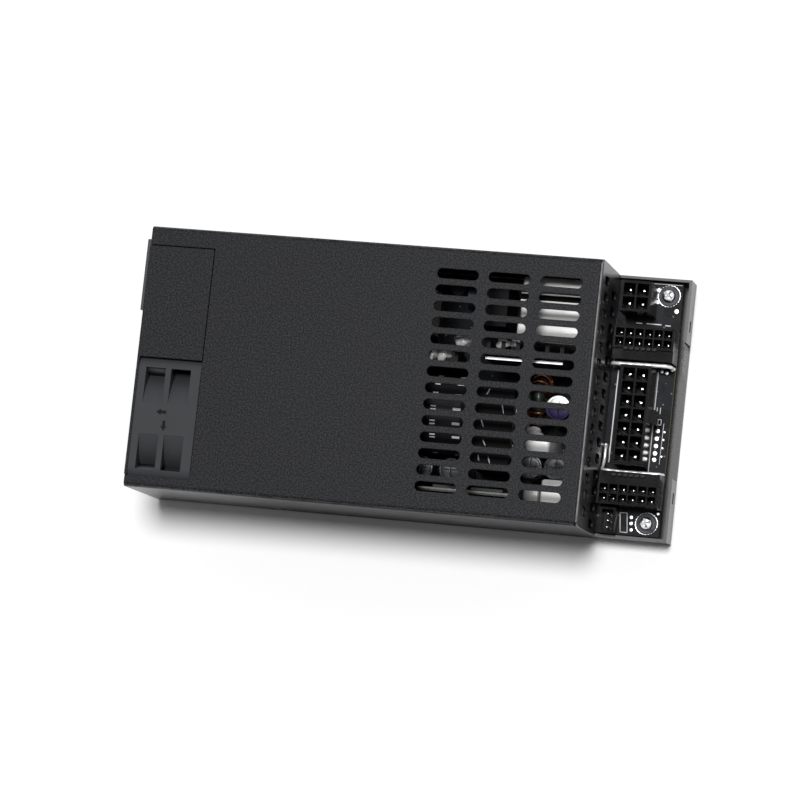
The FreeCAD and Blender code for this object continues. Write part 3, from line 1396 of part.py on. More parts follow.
def build_monitor_header():
    """Small three-pin header with one open cavity."""
    x = "step_x + monitor_pin_x"
    y = "monitor_pin_y"
    length = "((monitor_pins - 1) * monitor_pitch + 2 * monitor_rim)"
    middle = "%s - (monitor_pins - 1) * monitor_pitch / 2" % y
    shell = block("monitor_shell", (x, middle), "output_top", ("monitor_depth", length, "monitor_height"))
    cavity = block(
        "monitor_cavity",
        (x, middle),
        "output_top + monitor_wall",
        ("monitor_depth - 2 * monitor_wall", "%s - 2 * monitor_wall" % length, "monitor_height"),
    )
    pins = []
    holes = []
    for number in range(count("monitor_pins")):
        centre = (x, "%s - %d * monitor_pitch" % (y, number))
        holes.append(block(
            "monitor_pin_hole", centre, "output_z", ("monitor_pin", "monitor_pin", "2 * board_thickness")
        ))
        pins.append(block(
            "monitor_pin", centre, "output_top", ("monitor_pin", "monitor_pin", "monitor_pin_height")
        ))
    publish("header_3_way", cut("header_3_way", shell, [cavity] + holes))
    publish("header_3_way_pins", group("header_3_way_pins", pins))


def build_headers():
    """Output headers on the shelf."""
    build_header("header_4_way", "power", 2, 2, ("step_x + cpu_pin_x", "cpu_pin_y"), 0)
    build_header("header_12_way_upper", "signal", 6, 2, ("step_x + upper_pin_x", "upper_pin_y"), -1)
    build_header("header_14_way", "power", 2, 7, ("step_x + main_pin_x", "main_pin_y"), 2)
    build_header("header_12_way_lower", "signal", 6, 2, ("step_x + lower_pin_x", "lower_pin_y"), 1)
    build_monitor_header()


def build_bulk_capacitor():
    """Large capacitor that lies along the main board."""
    radius = size("bulk_radius")
    length = size("bulk_length")
    body = doc.addObject("PartDesign::Body", "bulk_capacitor")
    profile = body.newObject("Sketcher::SketchObject", "bulk_profile")
    plane = [p for p in body.Origin.OriginFeatures if p.Role == "XZ_Plane"][0]
    profile.AttachmentSupport = [(plane, "")]
    profile.MapMode = "FlatFace"
    edge = size("bulk_crimp")
    crimp = length - 4 * edge
    points = [
        (0, 0),
        (radius - edge, 0),
        (radius, edge),
        (radius, crimp - edge),
        (radius - edge, crimp),
        (radius, crimp + edge),
        (radius, length - edge),
        (radius - edge, length),
        (0, length),
    ]
    lines = []
    for start, end in zip(points, points[1:] + points[:1]):
        lines.append(profile.addGeometry(Part.LineSegment(Vector(*start, 0), Vector(*end, 0))))
    for number, line in enumerate(lines):
        following = lines[(number + 1) % len(lines)]
        profile.addConstraint(Sketcher.Constraint("Coincident", line, 2, following, 1))
    origin = -1
    profile.addConstraint(Sketcher.Constraint("Coincident", lines[0], 1, origin, 1))
    targets = [
        "bulk_radius - bulk_crimp",
        "bulk_radius",
        "bulk_radius",
        "bulk_radius - bulk_crimp",
        "bulk_radius",
        "bulk_radius",
        "bulk_radius - bulk_crimp",
        "0",
    ]
    heights = [
        "0",
        "bulk_crimp",
        "bulk_length - 5 * bulk_crimp",
        "bulk_length - 4 * bulk_crimp",
        "bulk_length - 3 * bulk_crimp",
        "bulk_length - bulk_crimp",
        "bulk_length",
        "bulk_length",
    ]
    for line, across, up in zip(lines, targets, heights):
        for kind, expression in (("DistanceX", across), ("DistanceY", up)):
            value = size(expression)
            if value == 0:
                axis = -2 if kind == "DistanceX" else -1
                number = profile.addConstraint(Sketcher.Constraint("PointOnObject", line, 2, axis))
                continue
            number = profile.addConstraint(Sketcher.Constraint(kind, origin, 1, line, 2, value))
            profile.setExpression("Constraints[%d]" % number, bound(expression))
    turned = body.newObject("PartDesign::Revolution", "bulk_turned")
    turned.Profile = profile
    turned.ReferenceAxis = (profile, ["V_Axis"])
    turned.Angle = 360
    body.Tip = turned
    place(body, ("main_start + bulk_start", "bulk_y", "board_top + bulk_radius"), ALONG_X)
    publish("bulk_capacitor", body)


def build_wound_part(label, centre, lengths, limb, wrap, through):
    """Add a transformer or choke: a two-window core round a taped winding.

    lengths are the core's across its windows, through them and up, limb the width of its
    outer limbs, wrap how far the winding stands out of each window, and through the axis
    that the windows look along. The bobbin's foot is given back.
    """
    across, depth, height = lengths
    seat = "transformer_seat"

    def along(first, second, third):
        return (second, first, third) if through == "x" else (first, second, third)

    outside = block(label + "_core_block", centre, seat, along(across, depth, height))
    window = block(
        label + "_core_window",
        centre,
        "%s + %s" % (seat, limb),
        along("%s - 2 * %s" % (across, limb), "2 * %s" % depth, "%s - 2 * %s" % (height, limb)),
    )
    leg = block(label + "_core_leg", centre, seat, along("2 * %s" % limb, depth, height))
    frame = cut(label + "_core_frame", outside, [window])
    publish(label + "_core", fuse(label + "_core", [frame, leg]))
    bundle = (
        "%s - 2 * %s - 2 * winding_gap" % (across, limb),
        "%s + 2 * %s" % (depth, wrap),
        "%s - 2 * %s - 2 * winding_gap" % (height, limb),
    )
    turns = block(label + "_turns", centre, "%s + %s + winding_gap" % (seat, limb), along(*bundle))
    passage = along("2 * %s + 2 * winding_gap" % limb, "%s + 2 * winding_gap" % depth, height)
    hollow = block(label + "_turns_hollow", centre, seat, passage)
    publish(label + "_winding", cut(label + "_winding", turns, [hollow]))
    foot_lengths = along(across, "%s + 2 * %s" % (depth, wrap), "bobbin_wall")
    return block(label + "_foot", centre, "board_top", foot_lengths)


def build_magnetics():
    """Boost choke, main transformer and standby transformer, each on its bobbin's foot."""
    feet = [
        build_wound_part(
            "boost_choke",
            ("main_start + boost_x", "boost_y"),
            ("boost_width", "boost_length", "boost_height"),
            "core_limb",
            "boost_wrap",
            "x",
        ),
        build_wound_part(
            "main_transformer",
            ("main_start + transformer_x", "transformer_y"),
            ("transformer_width", "transformer_length", "transformer_height"),
            "core_limb",
            "transformer_wrap",
            "x",
        ),
        build_wound_part(
            "standby_transformer",
            ("main_start + standby_x", "standby_y"),
            ("standby_length", "standby_width", "standby_height"),
            "standby_limb",
            "standby_wrap",
            "y",
        ),
    ]
    publish("bobbin_feet", group("bobbin_feet", feet))


def build_toroids():
    """Ring cores with separate turns of wire: the output choke and the line choke."""
    base = "board_top + choke_seat + toroid_ring + toroid_core + turn_gap + 2 * toroid_wire"
    centre = ("main_start + toroid_x", "toroid_y", base)
    publish(
        "output_choke_core",
        group(
            "output_choke_core",
            [ring("output_choke_ring", "toroid_ring", "toroid_core", centre, ALONG_X)],
        ),
    )
    turns = []
    total = count("toroid_turns")
    for number in range(total):
        turns.append(toroid_turn("output_choke_turn", "toroid", centre, 360.0 * (number + 0.5) / total))
    publish("output_choke_winding", group("output_choke_winding", turns))
    base = "board_top + line_choke_ring + line_choke_core + choke_seat"
    centre = ("main_start + line_choke_x", "line_choke_y", base)
    publish(
        "line_choke_core",
        group(
            "line_choke_core",
            [ring("line_choke_ring", "line_choke_ring", "line_choke_core", centre, ALONG_X)],
        ),
    )
    turns = []
    total = count("line_choke_turns")
    for side in (0, 180):
        for number in range(total):
            angle = side + size("line_choke_start") + size("line_choke_span") * number / max(total - 1, 1)
            turns.append(toroid_turn("line_choke_turn", "line_choke", centre, angle))
    publish("line_choke_windings", group("line_choke_windings", turns))


def toroid_turn(name, kind, centre, angle):
    """Add one turn of wire round a ring core that stands across the X axis."""
    middle_y = math.sin(math.radians(angle))
    middle_z = math.cos(math.radians(angle))
    x, y, z = centre
    turn = Rotation(Vector(1, 0, 0), -angle).multiply(Rotation(Vector(1, 0, 0), 90)).multiply(Rotation())
    where = (x, "%s + %r * %s_ring" % (y, middle_y, kind), "%s + %r * %s_ring" % (z, middle_z, kind))
    return ring(name, "%s_core + %s_wire + turn_gap" % (kind, kind), "%s_wire" % kind, where, turn)


def build_heatsinks():
    """Upright aluminium plates with fins, and the power devices screwed to them."""
    for label, start, length, y in (
        ("primary_heatsink", "primary_sink_start", "primary_sink_length", "primary_sink_y"),
        ("secondary_heatsink", "secondary_sink_start", "secondary_sink_length", "secondary_sink_y"),
    ):
        low = "main_start + %s" % start
        plates = [
            box(
                label + "_plate",
                (low, "%s - heatsink_thickness" % y, "board_top"),
                ("%s + %s" % (low, length), y, "tall_top"),
            )
        ]
        for number in range(count("fin_count")):
            x = "%s + %d * (%s - fin_thickness) / (fin_count - 1)" % (low, number, length)
            plates.append(
                box(
                    label + "_fin",
                    (x, y, "tall_top - 2 * fin_length"),
                    ("%s + fin_thickness" % x, "%s + fin_length" % y, "tall_top"),
                )
            )
        publish(label, fuse(label, plates))
    devices = []
    for place_along in ("rectifier_near", "rectifier_far"):
        x = "main_start + secondary_sink_start + %s" % place_along
        devices.append(power_device("rectifier", x, "secondary_sink_y"))
    publish("output_rectifiers", group("output_rectifiers", devices))
    devices = []
    for place_along in ("transistor_near", "transistor_far"):
        x = "main_start + primary_sink_start + %s" % place_along
        devices.append(power_device("transistor", x, "primary_sink_y"))
    publish("power_transistors", group("power_transistors", devices))
    bridge_x = "main_start + primary_sink_start + bridge_margin + bridge_length / 2"
    bridge_y = "primary_sink_y + bridge_thickness / 2"
    body = block(
        "bridge_body",
        (bridge_x, bridge_y),
        "board_top + device_foot",
        ("bridge_length", "bridge_thickness", "bridge_height"),
    )
    leads = [
        block(
            "bridge_lead",
            ("%s + %r * 1.5 * device_lead_pitch" % (bridge_x, step), bridge_y),
            "board_top",
            ("device_lead", "device_lead", "device_foot"),
        )
        for step in (-1.5, -0.5, 0.5, 1.5)
    ]
    publish("bridge_rectifier", fuse("bridge_rectifier", [body] + leads))


def power_device(name, x, plate_y):
    """Add a flat power device with three leads, against the +Y face of a heatsink."""
    y = "%s + device_thickness / 2" % plate_y
    body = block(
        name + "_body",
        (x, y),
        "board_top + device_foot",
        ("device_width", "device_thickness", "device_height - fin_length"),
    )
    leads = [
        block(
            name + "_lead",
            ("%s + %d * device_lead_pitch" % (x, step), y),
            "board_top",
            ("device_lead", "device_lead", "device_foot"),
        )
        for step in (-1, 0, 1)
    ]
    return fuse(name, [body] + leads)


def capacitor(name, x, y, radius, height):
    """Add an upright can capacitor with its sleeve groove near the foot."""
    can = cylinder(name + "_can", radius, height, (x, y, "board_top"))
    centre = (x, y, "board_top + groove_height")
    groove = ring(name + "_groove", "%s + groove_offset" % radius, "groove_radius", centre)
    return cut(name, can, [groove])


def build_small_parts():
    """Filter, storage and control parts on the main board."""
    cans = []
    for name in ("first", "second", "third", "fourth"):
        x = "main_start + %s_can_x" % name
        cans.append(capacitor("output_can", x, "%s_can_y" % name, "output_cap_radius", "output_cap_height"))
    publish("output_capacitors", group("output_capacitors", cans))
    x = "main_start + polymer_cap_x"
    polymer = capacitor("polymer_capacitor", x, "polymer_cap_y", "polymer_cap_radius", "polymer_cap_height")
    publish("polymer_capacitor", polymer)
    films = [
        block(
            "film_capacitor",
            ("main_start + %s_film_x" % name, "%s_film_y" % name),
            "board_top",
            ("film_length", "film_width", "film_height"),
        )
        for name in ("rear", "side")
    ]
    publish("interference_capacitors", group("interference_capacitors", films))
    boxes = [
        block(
            "output_film",
            ("main_start + %s_film_x" % name, "%s_film_y" % name),
            "board_top",
            (length, width, "output_film_height"),
        )
        for name, length, width in (
            ("wide", "wide_film_length", "output_film_width"),
            ("inner", "output_film_length", "output_film_width"),
            ("outer", "output_film_length", "outer_film_width"),
        )
    ]
    publish("output_film_capacitors", group("output_film_capacitors", boxes))
    discs = []
    places = (
        ("rear_disc_x", "first_disc_y"),
        ("rear_disc_x", "second_disc_y"),
        ("third_disc_x", "third_disc_y"),
    )
    for x, y in places:
        x = "main_start + " + x
        disc = cylinder(
            "disc_capacitor_body",
            "disc_radius",
            "disc_thickness",
            ("%s - disc_thickness / 2" % x, y, "board_top + disc_lift + disc_radius"),
            ALONG_X,
        )
        legs = [
            block(
                "disc_capacitor_leg",
                (x, "%s %s disc_leg_offset" % (y, side)),
                "board_top",
                ("disc_leg", "disc_leg", "disc_radius"),
            )
            for side in "-+"
        ]
        discs.append(fuse("disc_capacitor", [disc] + legs))
    publish("disc_capacitors", group("disc_capacitors", discs))
    fuse_x = "main_start + fuse_x"
    fuse_z = "board_top + fuse_lift + fuse_radius"
    tube = cylinder(
        "fuse_tube", "fuse_radius - fuse_cap_wall", "fuse_length", (fuse_x, "fuse_y", fuse_z), ALONG_X
    )
    caps = []
    for x in (fuse_x, "%s + fuse_length - fuse_cap_length" % fuse_x):
        start = (x, "fuse_y", fuse_z)
        cap = cylinder("fuse_cap_outside", "fuse_radius", "fuse_cap_length", start, ALONG_X)
        bore = cylinder("fuse_cap_bore", "fuse_radius - fuse_cap_wall", "fuse_cap_length", start, ALONG_X)
        foot = ("%s + fuse_cap_length / 2" % x, "fuse_y")
        leg = block("fuse_leg", foot, "board_top", ("fuse_leg", "fuse_leg", "2 * fuse_lift"))
        caps.append(cut("fuse_cap", fuse("fuse_cap_blank", [cap, leg]), [bore]))
    publish("fuse_tube", group("fuse_body", [tube]))
    publish("fuse_caps", group("fuse_caps", caps))
    relay = block(
        "relay_case",
        ("main_start + relay_x", "relay_y"),
        "board_top",
        ("relay_length", "relay_width", "relay_height"),
    )
    publish("inrush_relay", group("inrush_relay", [relay]))
    card_start = "main_start + card_x"
    card = box(
        "card_sheet",
        (card_start, "card_y - card_thickness / 2", "board_top"),
        ("%s + card_length" % card_start, "card_y + card_thickness / 2", "board_top + card_height"),
    )
    chips = []
    for share in (0.25, 0.65):
        chips.append(
            block(
                "controller_chip",
                (
                    "%s + %s * card_length" % (card_start, share),
                    "card_y + card_thickness / 2 + chip_thickness / 2",
                ),
                "board_top + card_height / 2 - chip_height / 2",
                ("chip_length", "chip_thickness", "chip_height"),
            )
        )
    publish("controller_card", fuse("controller_card", [card] + chips))
    bars = []
    for number in range(count("bus_count")):
        y = "(%d - (bus_count - 1) / 2) * bus_pitch - bus_shift" % number
        start = "main_end - bus_leg"
        end = "step_x - sheet - bus_gap"
        beam = box(
            "bus_beam",
            (start, "%s - bus_thickness / 2" % y, "output_top + bus_lift"),
            (end, "%s + bus_thickness / 2" % y, "output_top + bus_lift + bus_height"),
        )
        rear_leg = box(
            "bus_rear_leg",
            (start, "%s - bus_thickness / 2" % y, "board_top"),
            ("%s + bus_leg" % start, "%s + bus_thickness / 2" % y, "output_top + bus_lift"),
        )
        front_leg = box(
            "bus_front_leg",
            ("%s - bus_leg" % end, "%s - bus_thickness / 2" % y, "output_top"),
            (end, "%s + bus_thickness / 2" % y, "output_top + bus_lift"),
        )
        bars.append(fuse("bus_bar", [beam, rear_leg, front_leg]))
    publish("bus_bars", group("bus_bars", bars))


def build_fan_lead():
    """Fan plug on the main board and its two wires from the fan."""
    plug_x = "main_start + fan_plug_inset + fan_plug_length / 2"
    plug_y = "fan_y + fan_hole_pitch / 2"
    plug = block(
        "fan_plug_block",
        (plug_x, plug_y),
        "board_top",
        ("fan_plug_length", "fan_plug_width", "fan_plug_height"),
    )
    publish("fan_plug", group("fan_plug", [plug]))
    wires = [
        cylinder(
            "fan_wire",
            "fan_wire_radius",
            "main_start + fan_plug_inset - fan_front",
            ("fan_front", "%s %s fan_wire_pitch / 2" % (plug_y, side), "fan_wire_height"),
            ALONG_X,
        )
        for side in "-+"
    ]
    publish("fan_lead", group("fan_lead", wires))


def check():
    """Stop if any object failed, or any sub-part isn't a valid shape."""
    for thing in doc.Objects:
        if {"Invalid", "Error"} & set(thing.State):
            raise RuntimeError("%s is %s" % (thing.Name, thing.State))
    for label, thing in sub_parts:
        shape = thing.Shape
        if shape.isNull() or not shape.isValid() or not shape.Solids:
            raise RuntimeError("%s has no valid shape" % label)


def export():
    """Write each sub-part to its own file."""
    os.makedirs("parts", exist_ok=True)
    for label, thing in sub_parts:
        thing.Shape.exportStep("parts/%s.step" % label)
        bounds = thing.Shape.BoundBox
        print("%-26s %2d solids %9.1f mm3  z %6.2f to %6.2f" % (
            label, len(thing.Shape.Solids), thing.Shape.Volume, bounds.ZMin, bounds.ZMax))


build_base_chassis()
build_top_cover()
build_cover_screws()
build_fan_frame()
build_fan_bearings()
build_fan_motor()
build_fan_rotor()
build_fan_screws()
build_inlet()
build_inlet_wires()
build_boards()
build_headers()
build_bulk_capacitor()
build_magnetics()
build_toroids()
build_heatsinks()
build_small_parts()
build_fan_lead()
doc.recompute()
check()
export()
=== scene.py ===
"""Compact 1U power supply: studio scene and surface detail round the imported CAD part.

The CAD nodes keep their shapes and get procedural finishes. Pieces made here are surfaces
worked out with numpy: tapered header pins, solder joints, printed lines, screws, can tops
and silicone. Sizes in the classes are millimetres; meshes are metres.
"""
import json
import logging
import math
from dataclasses import dataclass, field
from enum import Enum
from typing import Any, Callable, Mapping, Optional, Sequence, Union

import bmesh
import bpy
import numpy as np
from mathutils import Matrix, Vector


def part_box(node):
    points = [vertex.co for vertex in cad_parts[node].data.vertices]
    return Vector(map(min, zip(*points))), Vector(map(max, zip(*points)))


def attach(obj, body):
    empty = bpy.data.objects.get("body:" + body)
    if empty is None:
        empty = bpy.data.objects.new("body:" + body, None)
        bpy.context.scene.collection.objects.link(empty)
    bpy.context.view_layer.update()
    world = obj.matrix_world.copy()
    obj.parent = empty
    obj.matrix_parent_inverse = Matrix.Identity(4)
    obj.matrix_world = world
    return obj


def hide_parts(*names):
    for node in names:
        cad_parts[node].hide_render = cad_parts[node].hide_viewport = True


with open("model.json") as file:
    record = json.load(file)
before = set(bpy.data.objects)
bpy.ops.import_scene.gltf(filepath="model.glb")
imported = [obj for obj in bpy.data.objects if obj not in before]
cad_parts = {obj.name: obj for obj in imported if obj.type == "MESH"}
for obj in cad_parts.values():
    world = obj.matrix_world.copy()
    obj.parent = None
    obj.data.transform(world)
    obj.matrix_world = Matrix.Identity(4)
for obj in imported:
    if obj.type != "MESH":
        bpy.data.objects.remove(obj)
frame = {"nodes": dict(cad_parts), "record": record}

LOG = logging.getLogger("power_supply")
MM = 0.001
Colour = tuple[float, float, float]
Point = tuple[float, float, float]
Spot = tuple[float, float]
EVEN: Point = (1.0, 1.0, 1.0)
ORIGIN: Point = (0.0, 0.0, 0.0)
WASHER_RADIUS = 3.2
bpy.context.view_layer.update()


def extent(node: str) -> tuple[Point, Point]:
    """Lowest and highest corner of a CAD node, in millimetres."""
    return tuple(tuple(value / MM for value in corner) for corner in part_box(node))


def middle_of(node: str) -> Point:
    """Middle of a CAD node's box, in millimetres."""
    return tuple((low + high) / 2 for low, high in zip(*extent(node)))


def screw_places() -> tuple[Spot, Spot]:
    """Middles of the shelf's two screws, a washer's radius in from the ends of their box."""
    low, high = extent("output_board_screws")
    x = middle_of("output_board_screws")[0]
    return (x, low[1] + WASHER_RADIUS), (x, high[1] - WASHER_RADIUS)


def paint(node: str, material: bpy.types.Material) -> None:
    """Give a CAD node its finish."""
    frame["nodes"][node].material_slots[0].material = material


def added(name: str, data: Any) -> bpy.types.Object:
    """Put a mesh, a camera or a lamp into the scene."""
    made = bpy.data.objects.new(name, data)
    bpy.context.scene.collection.objects.link(made)
    return made


def shade(colour: Colour, share: float, lift: float = 0.0) -> Colour:
    """Scale a colour and lift it, up to white at most."""
    return tuple(min(1.0, part * share + lift) for part in colour)


class Lay(Enum):
    """Ways in which a metal was worked: stretch of its scratches, their width and their depth."""

    PLATED = (EVEN, 0.3, 0.012)
    ROLLED_X = ((0.04, 1.0, 1.0), 0.12, 0.01)
    DRAWN = ((1.0, 1.0, 0.05), 0.12, 0.01)
    SOLDERED = (EVEN, 0.5, 0.05)


def maths(operation: str, swapped: bool = False) -> Callable[..., "Value"]:
    """Make a method of Value that adds one Math node.

    Args:
        operation: Blender's name of the operation.
        swapped: put the value after the other input.

    Returns:
        The method.
    """

    def method(value: "Value", *others: Any) -> "Value":
        """Add the node and give its result."""
        inputs = (*others, value) if swapped else (value, *others)
        node = value.graph.node("ShaderNodeMath", {"operation": operation}, dict(enumerate(inputs)))
        return Value(value.graph, node.outputs[0])

    return method


class Value:
    """A socket that carries a number, so that shader maths reads as Python.

    A comparison gives one where it holds. The fraction is the part after the point, and the
    angle is that of the point (other, value), in radians.
    """

    __add__ = maths("ADD")
    __radd__ = maths("ADD", swapped=True)
    __sub__ = maths("SUBTRACT")
    __rsub__ = maths("SUBTRACT", swapped=True)
    __mul__ = maths("MULTIPLY")
    __rmul__ = maths("MULTIPLY", swapped=True)
    __truediv__ = maths("DIVIDE")
    __abs__ = maths("ABSOLUTE")
    __gt__ = maths("GREATER_THAN")
    __lt__ = maths("LESS_THAN")
    fraction = maths("FRACT")
    sine = maths("SINE")
    angle = maths("ARCTAN2")
    most = maths("MAXIMUM")

    def __init__(self, graph: "Graph", socket: bpy.types.NodeSocket) -> None:
        """Keep the socket and the graph that its maths nodes go to."""
        self.graph = graph
        self.socket = socket

    def between(self, low: float, high: float) -> "Value":
        """One inside a range and zero outside it."""
        return (self > low) * (self < high)

    def smooth(self, low: float, high: float) -> "Value":
        """Rise smoothly from zero at low to one at high.

        Args:
            low: value that gives zero.
            high: value that gives one.

        Returns:
            The smoothed value.
        """
        node = self.graph.node(
            "ShaderNodeMapRange",
            {"interpolation_type": "SMOOTHSTEP", "clamp": True},
            {"Value": self, "From Min": low, "From Max": high},
        )
        return Value(self.graph, node.outputs[0])


class Graph:
    """The node tree of a material or of the world."""

    def __init__(self, name: str, owner: Any = None) -> None:
        """Start an empty tree.

        Args:
            name: name of the new material.
            owner: world to use in a material's place.
        """
        self.material = owner or bpy.data.materials.new(name)
        self.material.use_nodes = True
        self.tree = self.material.node_tree
        self.tree.nodes.clear()

    def node(
        self,
        kind: str,
        settings: Optional[Mapping[str, Any]] = None,
        sockets: Optional[Mapping[Union[str, int], Any]] = None,
    ) -> bpy.types.Node:
        """Add a node, set it up, then fill its sockets.

        Args:
            kind: Blender's node type.
            settings: the node's own properties, set first.
            sockets: input name or number, with a number, a colour or a link.

        Returns:
            The new node.
        """
        made = self.tree.nodes.new(kind)
        for key, setting in (settings or {}).items():
            setattr(made, key, setting)
        for key, given in (sockets or {}).items():
            socket = made.inputs[key]
            if isinstance(given, Value):
                self.tree.links.new(given.socket, socket)
            elif isinstance(given, bpy.types.NodeSocket):
                self.tree.links.new(given, socket)
            else:
                socket.default_value = (*given, 1.0) if socket.type == "RGBA" else given
        return made

    def place(self, scale: Point = EVEN) -> bpy.types.NodeSocket:
        """Give Object coordinates, in metres, stretched by a scale."""
        coordinates = self.node("ShaderNodeTexCoord").outputs["Object"]
        if scale == EVEN:
            return coordinates
        return self.node("ShaderNodeMapping", {}, {"Vector": coordinates, "Scale": scale}).outputs[0]

    def axes(self) -> tuple[Value, Value, Value]:
        """Give the three Object coordinates in millimetres."""
        split = self.node("ShaderNodeSeparateXYZ", {}, {0: self.place()})
        return tuple(Value(self, output) * 1000.0 for output in split.outputs)

    def noise(self, size: float, detail: float = 2.0, stretch: Point = EVEN, twist: float = 0.0) -> Value:
        """Give soft noise.

        Args:
            size: width of a grain, in millimetres.
            detail: octaves.
            stretch: scale of the three axes.
            twist: distortion.

        Returns:
            Noise from 0 to 1.
        """
        sockets = {"Vector": self.place(stretch), "Scale": 1.0 / (size * MM)}
        sockets |= {"Detail": detail, "Distortion": twist}
        return Value(self, self.node("ShaderNodeTexNoise", {}, sockets).outputs[0])

    def cells(self, size: float) -> Value:
        """Give the distance from the middles of random cells of a size in millimetres."""
        sockets = {"Vector": self.place(), "Scale": 1.0 / (size * MM)}
        return Value(self, self.node("ShaderNodeTexVoronoi", {}, sockets).outputs["Distance"])

    def tracks(self, across: Value, width: float, patch: float, start: float, twist: float = 0.0) -> Value:
        """Mask of copper lines, in random patches.

        Args:
            across: coordinate in spacings of the lines.
            width: share of a spacing that a line takes.
            patch: size of a patch, in millimetres.
            start: noise over which a patch begins.
            twist: distortion of the patches.

        Returns:
            One on a line.
        """
        patches = self.noise(patch, 1.0, twist=twist).smooth(start, start + 0.02)
        return across.fraction().between(0.0, width) * patches

    def blend(self, factor: Any, first: Any, second: Any) -> bpy.types.NodeSocket:
        """Mix two colours.

        Args:
            factor: share of the second one.
            first: colour or link.
            second: colour or link.

        Returns:
            The mixed colour's socket.
        """
        # The Mix node's colours are its inputs 6 and 7 and its output 2.
        sockets = {0: factor, 6: first, 7: second}
        return self.node("ShaderNodeMix", {"data_type": "RGBA"}, sockets).outputs[2]

    def rounded_normal(self, radius: float) -> bpy.types.NodeSocket:
        """Give a normal that rolls over sharp edges within a radius in millimetres."""
        return self.node("ShaderNodeBevel", {"samples": 4}, {"Radius": radius * MM}).outputs[0]

    def bump(self, height: Value, depth: float, strength: float, normal: Any = None) -> bpy.types.NodeSocket:
        """Turn a height into a normal.

        Args:
            height: height from 0 to 1.
            depth: what 1 stands for, in millimetres.
            strength: share of the effect.
            normal: normal under it.

        Returns:
            The normal's socket.
        """
        sockets = {"Height": height, "Distance": depth * MM, "Strength": strength}
        if normal is not None:
            sockets["Normal"] = normal
        return self.node("ShaderNodeBump", {}, sockets).outputs[0]

    def surface(self, base: Any, roughness: Any, normal: Any = None, **fixed: Any) -> bpy.types.Material:
        """Close the graph with a Principled shader.

        Args:
            base: colour or link.
            roughness: number or value.
            normal: normal's socket.
            fixed: further inputs, with underscores for spaces; specular is short for its level.

        Returns:
            The finished material.
        """
        sockets: dict[str, Any] = {"Base Color": base, "Roughness": roughness}
        if normal is not None:
            sockets["Normal"] = normal
        for key, given in fixed.items():
            sockets[{"specular": "Specular IOR Level"}.get(key, key.replace("_", " ").title())] = given
        shader = self.node("ShaderNodeBsdfPrincipled", {}, sockets)
        self.node("ShaderNodeOutputMaterial", {}, {"Surface": shader.outputs[0]})
        return self.material


@dataclass(frozen=True)
class PowderCoat:
    """Fine-grained powder coat on folded sheet steel.

    Upright faces are seen at a grazing angle and look glossier than the lid, so they have a
    clear coat: a little on the sides, more towards the rear, and most on the step.
    """

    name: str
    dark: Colour
    light: Colour
    step: float
    side: float
    height: float
    bend_highlight: Colour = (0.26, 0.26, 0.27)
    roughness: float = 0.45
    bend: float = 1.4
    highlight_limits: Spot = (0.5, 0.62)
    under_edge: float = 0.5
    rear: Spot = (-30.0, -62.0)
    side_gloss: float = 0.04
    rear_gloss: float = 0.5
    step_gloss: float = 0.64

    def highlight_band(self, across: Value, up: Value) -> Value:
        """Mask of the middle of a bend, where the painted highlight goes.

        Both distances are from the axis of the bend, as shares of its radius, and both are
        0.71 in its middle.

        Args:
            across: distance towards the side.
            up: distance upwards.

        Returns:
            One along the middle of the bend.
        """
        return across.smooth(*self.highlight_limits) * up.smooth(*self.highlight_limits)

    def material(self) -> bpy.types.Material:
        """Speckle of two grain sizes, a faint broad drift, a painted highlight along the bends, and painted
        shade on upright faces.
        """
        graph = Graph(self.name)
        x, y, z = graph.axes()
        grain = graph.noise(0.5, 1.0)
        fine = graph.noise(0.25, 1.0)
        drift = graph.noise(34.0, 2.0)
        speckle = (grain * 0.65 + fine * 0.35).smooth(0.43, 0.61)
        base = graph.blend(speckle * 0.85 + drift * 0.15, self.dark, self.light)
        up = (z - (self.height - self.bend)) / self.bend
        front = self.highlight_band((x - (self.step - self.bend)) / self.bend, up)
        sides = self.highlight_band((abs(y) - (self.side - self.bend)) / self.bend, up)
        patchy = graph.noise(3.0, 3.0).smooth(0.3, 0.55)
        # Painted highlight: a lighter band along the middle of the step's bend, and a faint patchy one along
        # the side bends.
        bend_highlight = (front * (0.6 + patchy * 0.4)).most(sides * patchy * 0.16)
        base = graph.blend(bend_highlight, base, self.bend_highlight)
        upright = z < self.height - self.under_edge
        step_wall = (x > self.step - self.under_edge) * self.step_gloss
        gloss = upright * (step_wall + x.smooth(*self.rear) * self.rear_gloss + self.side_gloss)
        # Painted shade: upright faces are darkened towards the dark tone, less so on the painted highlight.
        base = graph.blend(upright * 0.55 * (1.0 - bend_highlight), base, self.dark)
        rough = self.roughness + (fine - 0.5) * 0.25 + (drift - 0.5) * 0.08
        normal = graph.bump(grain * 0.6 + fine * 0.4, 0.09, 0.5, graph.rounded_normal(0.35))
        return graph.surface(base, rough, normal, specular=0.09, coat_weight=gloss, coat_roughness=0.27)


@dataclass(frozen=True)
class Moulding:
    """Injection-moulded plastic with a spark-eroded grain and faint flow marks."""

    name: str
    colour: Colour
    roughness: float = 0.42
    grain: float = 0.22
    depth: float = 0.02
    edge: float = 0.15
    gloss: float = 0.3

    def material(self) -> bpy.types.Material:
        """Grain, flow marks that lighten the colour a little, and rolled edges."""
        graph = Graph(self.name)
        grain = graph.noise(self.grain, 2.0)
        flow = graph.noise(9.0, 3.0, (1.0, 0.35, 1.0), 0.6)
        tones = shade(self.colour, 0.82), shade(self.colour, 1.28, 0.004)
        base = graph.blend(flow * 0.75 + grain * 0.25, *tones)
        rough = self.roughness + (grain - 0.5) * 0.18 + (flow - 0.5) * 0.1
        normal = graph.bump(grain, self.depth, 0.5, graph.rounded_normal(self.edge))
        return graph.surface(base, rough, normal, specular=self.gloss)


